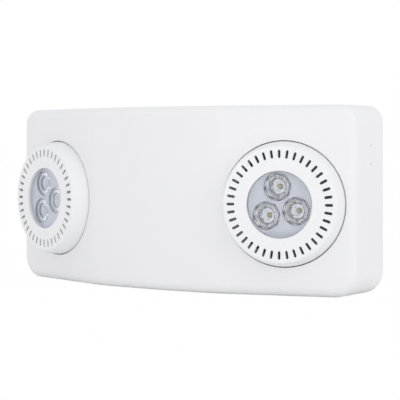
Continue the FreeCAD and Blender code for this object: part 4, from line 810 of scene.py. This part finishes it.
def lensPeg():  # foot on the lamp board, head just under the plate
    radius, foot, top = lens["pegRadius"], lens["pegFoot"], lens["plateBack"] - lens["pegGap"]
    corners = [(0, foot), (radius * lens["pegTip"], foot), (radius, foot + lens["pegBevel"]),
               (radius, top), (0, top)]
    return turnedBody("lens_peg", corners, lens["pegSteps"])


caseShape, domeShape = emitterCase(), phosphorDome()
for name, side in sides.items():
    spots, place = circlePoints(lens["count"], lens["ring"]), onLamp(name, side)
    cases = repeated("emitter_cases_" + name, spots, caseShape, "emitterCase", place)
    domes = repeated("emitter_domes_" + name, spots, domeShape, "phosphor", place, crease["dome"])
    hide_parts("emitters_" + name)
    for piece in (cases, domes):
        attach(piece, "head_" + name)
for helper in (caseShape, domeShape):
    bpy.data.objects.remove(helper)
print("emitters")

pegShape = lensPeg()
for name, side in sides.items():
    spots = circlePoints(lens["pegCount"], lens["pegRing"], math.pi / lens["pegCount"])
    pegs = repeated("lens_pegs_" + name, spots, pegShape, "lens", onLamp(name, side))
    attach(pegs, "head_" + name)
    pegs.visible_shadow = False
    lensShape = lensBody(lens["edge"][name])
    cluster = lensCluster(name, side, lensShape)
    bpy.data.objects.remove(lensShape)
    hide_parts("lens_plate_" + name)
    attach(cluster, "head_" + name)
bpy.data.objects.remove(pegShape)
print("lens clusters")


# studio, its places and sizes in metres
studio = {
    "floorZ": cadBox[0][2], "floorReach": 6.0, "floorTone": ((0.93, 0.93, 0.93), (0.95, 0.95, 0.95)),
    "floorPatch": 3, "floorRough": 0.9, "floorWhite": 0.97,
    "worldStrength": 0.895, "worldTint": (0.985, 0.985, 1.0),
    "keyPower": 4.6, "keySize": 1.4, "keyPlace": (1.87, -0.4, 0.62),
    "lowPower": 0.75, "lowSize": 0.5, "lowPlace": (0.2, -0.8, 0.02),
}


def whiteForCamera(tree, output, surface, share):  # to the eye this share is plain white, the rest as lit
    path = addNode(tree, "ShaderNodeLightPath").outputs
    seen = calc(tree, "MAXIMUM", path["Is Camera Ray"], path["Is Glossy Ray"])
    amount = calc(tree, "MULTIPLY", calc(tree, "MAXIMUM", seen, path["Is Transmission Ray"]), share)
    white = feed(tree, addNode(tree, "ShaderNodeEmission"), Strength=1.0)
    mix = addNode(tree, "ShaderNodeMixShader")
    for socket, source in zip(mix.inputs, (amount, surface, white.outputs[0])):
        tree.links.new(source, socket)
    tree.links.new(mix.outputs[0], output)


def makeFloor():
    reach, z = studio["floorReach"], studio["floorZ"]
    mesh = bpy.data.meshes.new("floor")
    corners = [(-reach, -reach, z), (reach, -reach, z), (reach, reach, z), (-reach, reach, z)]
    mesh.from_pydata(corners, [], [(0, 1, 2, 3)])
    floor = bpy.data.objects.new("floor", mesh)
    bpy.context.scene.collection.objects.link(floor)
    material, tree, shader = newMaterial("studio floor")
    feed(tree, shader, Roughness=studio["floorRough"],
         Base_Color=tintNoise(tree, objectCoords(tree), studio["floorPatch"], *studio["floorTone"]))
    surface = tree.nodes["Material Output"].inputs["Surface"]
    whiteForCamera(tree, surface, shader.outputs[0], studio["floorWhite"])
    mesh.materials.append(material)


def makeWorld():
    world = bpy.data.worlds.new("studio")
    bpy.context.scene.world = world
    world.use_nodes = True
    tree = world.node_tree
    tint = (*studio["worldTint"], 1)
    dim = feed(tree, tree.nodes["Background"], Color=tint, Strength=studio["worldStrength"])
    whiteForCamera(tree, tree.nodes["World Output"].inputs["Surface"], dim.outputs[0], 1.0)


def softLamp(name):  # a round area light, aimed at the unit
    light = bpy.data.lights.new(name + " lamp", "AREA")
    light.energy = studio[name + "Power"]
    light.shape = "DISK"
    light.size = studio[name + "Size"]
    lamp = bpy.data.objects.new(name + " lamp", light)
    bpy.context.scene.collection.objects.link(lamp)
    lamp.location = studio[name + "Place"]
    lamp.rotation_euler = (-Vector(lamp.location)).to_track_quat("-Z", "Y").to_euler()
    lamp.visible_camera = False


makeFloor()
makeWorld()
softLamp("key")
softLamp("low")


# camera at the photograph's place
eye = {  # places in metres, yaw in radians
    "place": (0.61552, -0.89503, 0.03889), "yaw": 0.608, "lens": 125.5, "sensor": 36, "shiftY": -0.13653,
    "clip": 0.01,
}
camera = bpy.data.cameras.new("eye")
camera.lens = eye["lens"]
camera.sensor_width = eye["sensor"]
camera.shift_y = eye["shiftY"]
camera.clip_start = eye["clip"]
cameraObject = bpy.data.objects.new("eye", camera)
bpy.context.scene.collection.objects.link(cameraObject)
cameraObject.location = eye["place"]
cameraObject.rotation_euler = (math.pi / 2, 0, eye["yaw"])
bpy.context.scene.camera = cameraObject
bpy.context.scene.view_settings.view_transform = "Standard"
print("studio and camera")
